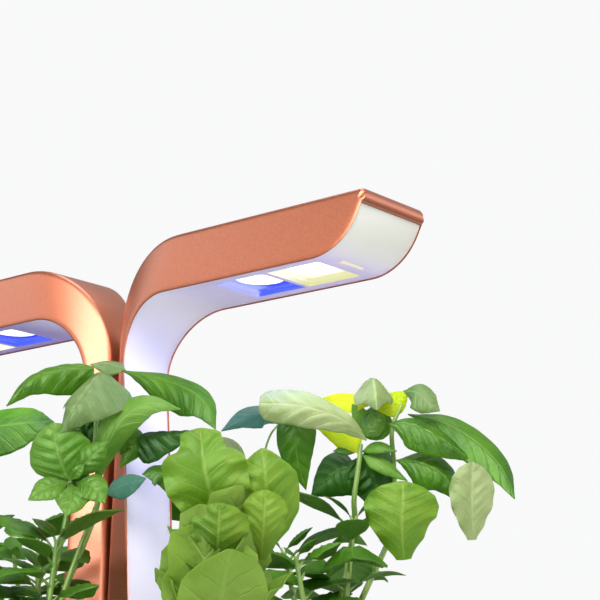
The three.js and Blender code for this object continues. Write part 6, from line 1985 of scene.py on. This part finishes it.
GROUPS = (
    (ArmSizes, "garden_arms", "Lamp arms"),
    (LampSizes, "garden_lamps", "Lamps"),
    (TankSizes, "garden_tank", "Tank and deck"),
    (PodSizes, "garden_pods", "Pods"),
    (PlantSizes, "garden_plants", "Plants"),
    (StageSizes, "garden_stage", "Stage"),
    (FinishColours, "garden_colours", "Colours"),
)


def opaque(colour):
    return (*colour, 1.0)


class GARDEN_OT_stage(bpy.types.Operator):
    """Sets up the camera, the plain floor, the lights and the pale surroundings"""

    bl_idname = "garden.stage"
    bl_label = "Stage"
    # Where the bright panels in front of the garden and behind it stand, seen from the garden.
    FRONT = Vector((0.26, -0.96, 0.1)).normalized()
    BEHIND = Vector((0.74, 0.64, 0.2)).normalized()
    # The camera's sensor in millimetres and how far it sees in metres, what the lights aim at and the
    # side of a lamp's own light in metres, then half the floor's side and its height in millimetres.
    SENSOR = 36
    CAMERA_REACH = 20
    AIM = Vector((0.04, 0, 0.25))
    GLOW_SIDE = 0.036
    FLOOR_HALF = 6000
    FLOOR_HEIGHT = -0.2
    # Each light's name, which is also that of its power, then its place and side in metres, and its
    # colour.
    LIGHTS = (
        ("key", (0.9, -0.75, 1.05), 0.55, (1, 0.99, 0.97)),
        ("fill", (-1.1, -0.8, 0.7), 0.9, (0.95, 0.97, 1)),
        ("top", (0.0, 0.1, 1.4), 0.8, (1, 1, 1)),
        ("back", (0.2, 1.3, 0.75), 0.8, (1, 1, 0.98)),
    )

    def execute(self, context):
        scene, sizes = context.scene, context.scene.garden_stage
        scene.view_settings.view_transform = "Standard"
        camera = new_object("camera", bpy.data.cameras.new("camera"))
        camera.data.sensor_width = self.SENSOR
        camera.data.lens = VIEW.FOCAL * self.SENSOR / VIEW.PICTURE
        camera.data.clip_end = self.CAMERA_REACH
        basis = Matrix((VIEW.right, VIEW.up, -VIEW.ahead)).transposed().to_4x4()
        camera.matrix_world = Matrix.Translation(VIEW.PLACE * MM) @ basis
        scene.camera = camera
        self.floor(sizes)
        self.surroundings(scene, sizes)
        for key, place, side, colour in self.LIGHTS:
            self.light(key + "_light", place, self.AIM, side, getattr(sizes, key), colour, key != "back")
        height = (low("lamp_window_right").z - sizes.glow_drop / MM) * MM
        for side in (-1, 1):
            for node, watts, colour in (
                ("blue_led_right", sizes.blue, (0.06, 0.1, 1)),
                ("white_led_right", sizes.warm, (1, 0.95, 0.75)),
            ):
                x = side * mid(node).x * MM
                place, below = (x, 0, height), Vector((x, 0, 0))
                self.light(f"glow_{node}_{side}", place, below, self.GLOW_SIDE, watts, colour, False)
        return {"FINISHED"}

    def light(self, name, place, target, side, watts, colour, mirrored):
        """Adds a square light that the camera doesn't see, and that metal mirrors or not."""
        lamp = new_object(name, bpy.data.lights.new(name, "AREA"))
        lamp.data.size = side
        lamp.data.energy = watts
        lamp.data.color = colour
        lamp.location = place
        lamp.rotation_euler = (Vector(place) - target).to_track_quat("Z", "Y").to_euler()
        lamp.visible_camera = False
        lamp.visible_glossy = mirrored

    def floor(self, sizes):
        half, height = self.FLOOR_HALF, self.FLOOR_HEIGHT
        corners = [(x * half, y * half, height) for x, y in ((-1, -1), (1, -1), (1, 1), (-1, 1))]
        plane = piece("floor", corners, [(0, 1, 2, 3)], clean=False)
        f = Finish("floor")
        speck = f.noise(40.0, 2.0, 0.5)
        colour = opaque(sizes.floor)
        shader = f.surface(Base_Color=f.mix(speck * 0.06, colour, tone(224, 224, 228)), Roughness=0.7)
        plane.data.materials.append(f.close(shader))
        plane.visible_glossy = False

    def surroundings(self, scene, sizes):
        """Plain pale surroundings, which look darker to the left in the shine of the metal."""
        world = bpy.data.worlds.new("surroundings")
        world.use_nodes = True
        world.node_tree.nodes.clear()

        def add(kind, *inputs, **settings):
            return add_node(world.node_tree, kind, settings, dict(enumerate(inputs))).outputs

        path = add("ShaderNodeLightPath")
        seen = (path["Is Camera Ray"], path["Is Transmission Ray"])
        direct = add("ShaderNodeMath", *seen, operation="MAXIMUM")[0]
        looking = add("ShaderNodeTexCoord")["Generated"]
        bearing = add("ShaderNodeSeparateXYZ", looking)[0]
        shine = add("ShaderNodeMapRange", bearing, -0.95, 0.9, sizes.shine_left, sizes.shine_right)[0]
        for place, edge, middle, level in (
            (self.FRONT, 0.8, 0.93, sizes.shine_front),
            (self.BEHIND, 0.9, 0.97, sizes.shine_behind),
        ):
            towards = add("ShaderNodeVectorMath", looking, place, operation="DOT_PRODUCT")["Value"]
            panel = add("ShaderNodeMapRange", towards, edge, middle, 0, level)[0]
            shine = add("ShaderNodeMath", shine, panel, operation="ADD")[0]
        around = add("ShaderNodeMapRange", path["Is Glossy Ray"], 0, 1, sizes.world, shine)[0]
        level = add("ShaderNodeMapRange", direct, 0, 1, around, sizes.backdrop)[0]
        back = add("ShaderNodeBackground", (0.992, 0.994, 1, 1), level)[0]
        add("ShaderNodeOutputWorld", back)
        scene.world = world


class GARDEN_OT_arms(bpy.types.Operator):
    """Makes the copper covers and the white faces of both lamp arms"""

    bl_idname = "garden.arms"
    bl_label = "Lamp arms"

    def execute(self, context):
        arms, lamps = context.scene.garden_arms, context.scene.garden_lamps
        lamp = LampPlan(lamps)
        form = ArmForm(arms)
        copper, white, cream = copper_paint(), arm_white(lamp), lens()
        for side in SIDES:
            stand_for("arm_shell_" + side, arm_shell(side, arms), copper, 0.7)
            stand_for("arm_panel_" + side, arm_panel(side, arms, lamp), white, 0.5)
            span = (form.recess / 2, form.recess + form.panel)
            bar = sensor_bar("sensor_lens_" + side, side, form, lamp, 0, *span)
            stand_for("light_sensor_" + side, ease(bar, 0.2, 0.8, 2), cream)
        return {"FINISHED"}


class GARDEN_OT_lamps(bpy.types.Operator):
    """Makes the lit pockets and discs, and finishes the panes, boards, sinks and wires"""

    bl_idname = "garden.lamps"
    bl_label = "Lamps"

    def execute(self, context):
        sizes, colours = context.scene.garden_lamps, context.scene.garden_colours
        lamp = LampPlan(sizes)
        pockets, pane = lit_pockets(lamp), clear_pane()
        blue = emitter("blue_disc", tone(255, 255, 255), tone(150, 185, 255), sizes.glow * 1.6)
        warm = emitter("warm_disc", tone(255, 255, 250), tone(255, 252, 226), sizes.glow * 1.4)
        board, sink = board_green(), brushed("sink_metal", tone(176, 178, 180))
        wire = moulded("wire_sheath", opaque(colours.cable), 0.5, 0.1)
        for side in SIDES:
            stand_for("reflector_tray_" + side, lamp_tray(side, lamp), pockets)
            stand_for("blue_led_" + side, lamp_disc("blue_led_" + side), blue)
            stand_for("white_led_" + side, lamp_disc("white_led_" + side), warm)
            stand_for("lamp_window_" + side, lamp_pane("lamp_window_" + side, lamp), pane)
            coat(board, "lamp_board_" + side)
            coat(sink, "heat_sink_" + side)
            coat(wire, "lamp_wire_" + side)
        return {"FINISHED"}


class GARDEN_OT_tank(bpy.types.Operator):
    """Makes the copper body and its feet, and finishes the liner and the base plate"""

    bl_idname = "garden.tank"
    bl_label = "Tank"

    def execute(self, context):
        sizes, colours = context.scene.garden_tank, context.scene.garden_colours
        stand_for("outer_shell", tank_cover(sizes), bpy.data.materials["copper_satin"])
        feet = rubber()
        for name in FOOT_NAMES:
            stand_for("foot_" + name, foot_pad(name), feet)
        coat(moulded("tank_liner", opaque(colours.liner), 0.5, 0.1), "water_tank")
        coat(moulded("base_plastic", opaque(colours.dark), 0.55, 0.2, 500.0), "base_plate")
        return {"FINISHED"}


class GARDEN_OT_deck(bpy.types.Operator):
    """Makes the white deck, the filling lid, the power key and the level marker"""

    bl_idname = "garden.deck"
    bl_label = "Deck"

    def execute(self, context):
        sizes, colours = context.scene.garden_tank, context.scene.garden_colours
        white = moulded("deck_white", opaque(colours.white), 0.38, 0.06, 900.0, 0.1)
        stand_for("deck", garden_deck(sizes, context.scene.garden_pods), white)
        stand_for("fill_lid", fill_lid(sizes), white)
        stand_for("power_button", power_button(), white)
        stand_for("level_float", level_float(sizes), white)
        return {"FINISHED"}


class GARDEN_OT_mast(bpy.types.Operator):
    """Makes the mast plate and the legs' foot, and finishes the posts and their bracket"""

    bl_idname = "garden.mast"
    bl_label = "Lifting mast"

    def execute(self, context):
        sizes, colours = context.scene.garden_tank, context.scene.garden_colours
        plate, foot = mast_plates(sizes)
        stand_for("mast_collar", plate, bpy.data.materials["deck_white"])
        stand_for("leg_base", foot, bpy.data.materials["copper_satin"])
        coat(brushed("post_metal", opaque(colours.metal), 0.26), "lift_post_left", "lift_post_right")
        coat(bpy.data.materials["base_plastic"], "post_bracket")
        return {"FINISHED"}


class GARDEN_OT_pods(bpy.types.Operator):
    """Makes the baskets and the domed collars of the six pods"""

    bl_idname = "garden.pods"
    bl_label = "Pods"

    def execute(self, context):
        sizes, colours = context.scene.garden_pods, context.scene.garden_colours
        basket = moulded("basket_grey", opaque(colours.basket), 0.55, 0.2, 600.0)
        for name in POD_NAMES:
            stand_for("pod_collar_" + name, pod_collar(name, sizes), bpy.data.materials["deck_white"])
            stand_for("pod_cup_" + name, pod_basket(name, sizes), basket)
        return {"FINISHED"}


class GARDEN_OT_plants(bpy.types.Operator):
    """Grows the six plants: the leaves that the picture shows, the foliage below them, stems and plugs"""

    bl_idname = "garden.plants"
    bl_label = "Plants"
    # Edges of leaves and stems sharper than this, in radians, are shaded as edges.
    SHARP = 1.2

    def execute(self, context):
        sizes, finishes = context.scene.garden_plants, leaf_finishes(context.scene.garden_colours)
        stem_finish = stem_green("basil_stem", tone(150, 178, 92), tone(104, 146, 60))
        sponge = grow_sponge()
        groups = {kind: leaf_moulds(kind) for kind in MOULDS}
        trees = {kind: leaf_tree(finishes[kind]) for kind in MOULDS}
        for name in POD_NAMES:
            growth = Growth(name, sizes)
            kind, body, slot = growth.kind, "pod_" + name, growth.kind + "_leaf"
            if kind == "lettuce":
                growth.lettuce()
            else:
                growth.basil()
            lower = repeat_leaves("foliage_" + name, growth, trees[kind], groups[kind], sizes)
            stand_for("plant_" + name, lower, finishes[kind], self.SHARP)
            for finish, foliage in seen_foliage(name).items():
                leaf_slot = "lettuce_leaf" if finish == "lettuce" else slot
                leaves = foliage.build(f"{finish}_leaves_{name}")
                dress(leaves, finishes[finish], body, self.SHARP)
            stems = Foliage()
            for path, radii in growth.stalks + seen_stems(name):
                stems.add_rings(rod(path, radii))
            dress(stems.build("stems_" + name), stem_finish, body, self.SHARP)
            dress(grow_plug(name, context.scene.garden_pods), sponge, body)
        for group in groups.values():
            for mould in list(group.objects):
                bpy.data.objects.remove(mould, do_unlink=True)
            bpy.data.collections.remove(group)
        return {"FINISHED"}


class GARDEN_OT_workings(bpy.types.Operator):
    """Finishes the pump, the control board, the power inlet and the key's spring"""

    bl_idname = "garden.workings"
    bl_label = "Workings"

    def execute(self, context):
        colours = context.scene.garden_colours
        coat(moulded("pump_plastic", opaque(colours.dark), 0.5, 0.2, 500.0), "pump_body", "pump_cover")
        coat(bpy.data.materials["deck_white"], "pump_impeller")
        coat(bpy.data.materials["circuit_board"], "control_board")
        coat(moulded("inlet_black", opaque(colours.cable), 0.45, 0.15), "power_inlet")
        coat(brushed("spring_wire", tone(170, 172, 176), 0.25), "button_spring")
        return {"FINISHED"}


OPERATORS = (
    GARDEN_OT_stage, GARDEN_OT_arms, GARDEN_OT_lamps, GARDEN_OT_tank, GARDEN_OT_deck,
    GARDEN_OT_mast, GARDEN_OT_pods, GARDEN_OT_workings, GARDEN_OT_plants,
)


class GARDEN_PT_sidebar(bpy.types.Panel):
    """Lists the pieces of the garden and their sizes"""

    bl_idname = "GARDEN_PT_sidebar"
    bl_label = "Herb Garden"
    bl_space_type = "VIEW_3D"
    bl_region_type = "UI"
    bl_category = "Herb Garden"

    def draw(self, context):
        for operator in OPERATORS:
            self.layout.operator(operator.bl_idname)
        for group, name, title in GROUPS:
            box = self.layout.box()
            box.label(text=title)
            settings = getattr(context.scene, name)
            for key in group.__annotations__:
                box.prop(settings, key)


def register():
    for group, name, _ in GROUPS:
        bpy.utils.register_class(group)
        setattr(bpy.types.Scene, name, PointerProperty(type=group))
    for operator in (*OPERATORS, GARDEN_PT_sidebar):
        bpy.utils.register_class(operator)


def unregister():
    for operator in (GARDEN_PT_sidebar, *reversed(OPERATORS)):
        bpy.utils.unregister_class(operator)
    for group, name, _ in reversed(GROUPS):
        delattr(bpy.types.Scene, name)
        bpy.utils.unregister_class(group)


def main():
    register()
    bpy.ops.garden.stage()
    bpy.ops.garden.arms()
    bpy.ops.garden.lamps()
    bpy.ops.garden.tank()
    bpy.ops.garden.deck()
    bpy.ops.garden.mast()
    bpy.ops.garden.pods()
    bpy.ops.garden.workings()
    bpy.ops.garden.plants()


if __name__ == "__main__":
    main()
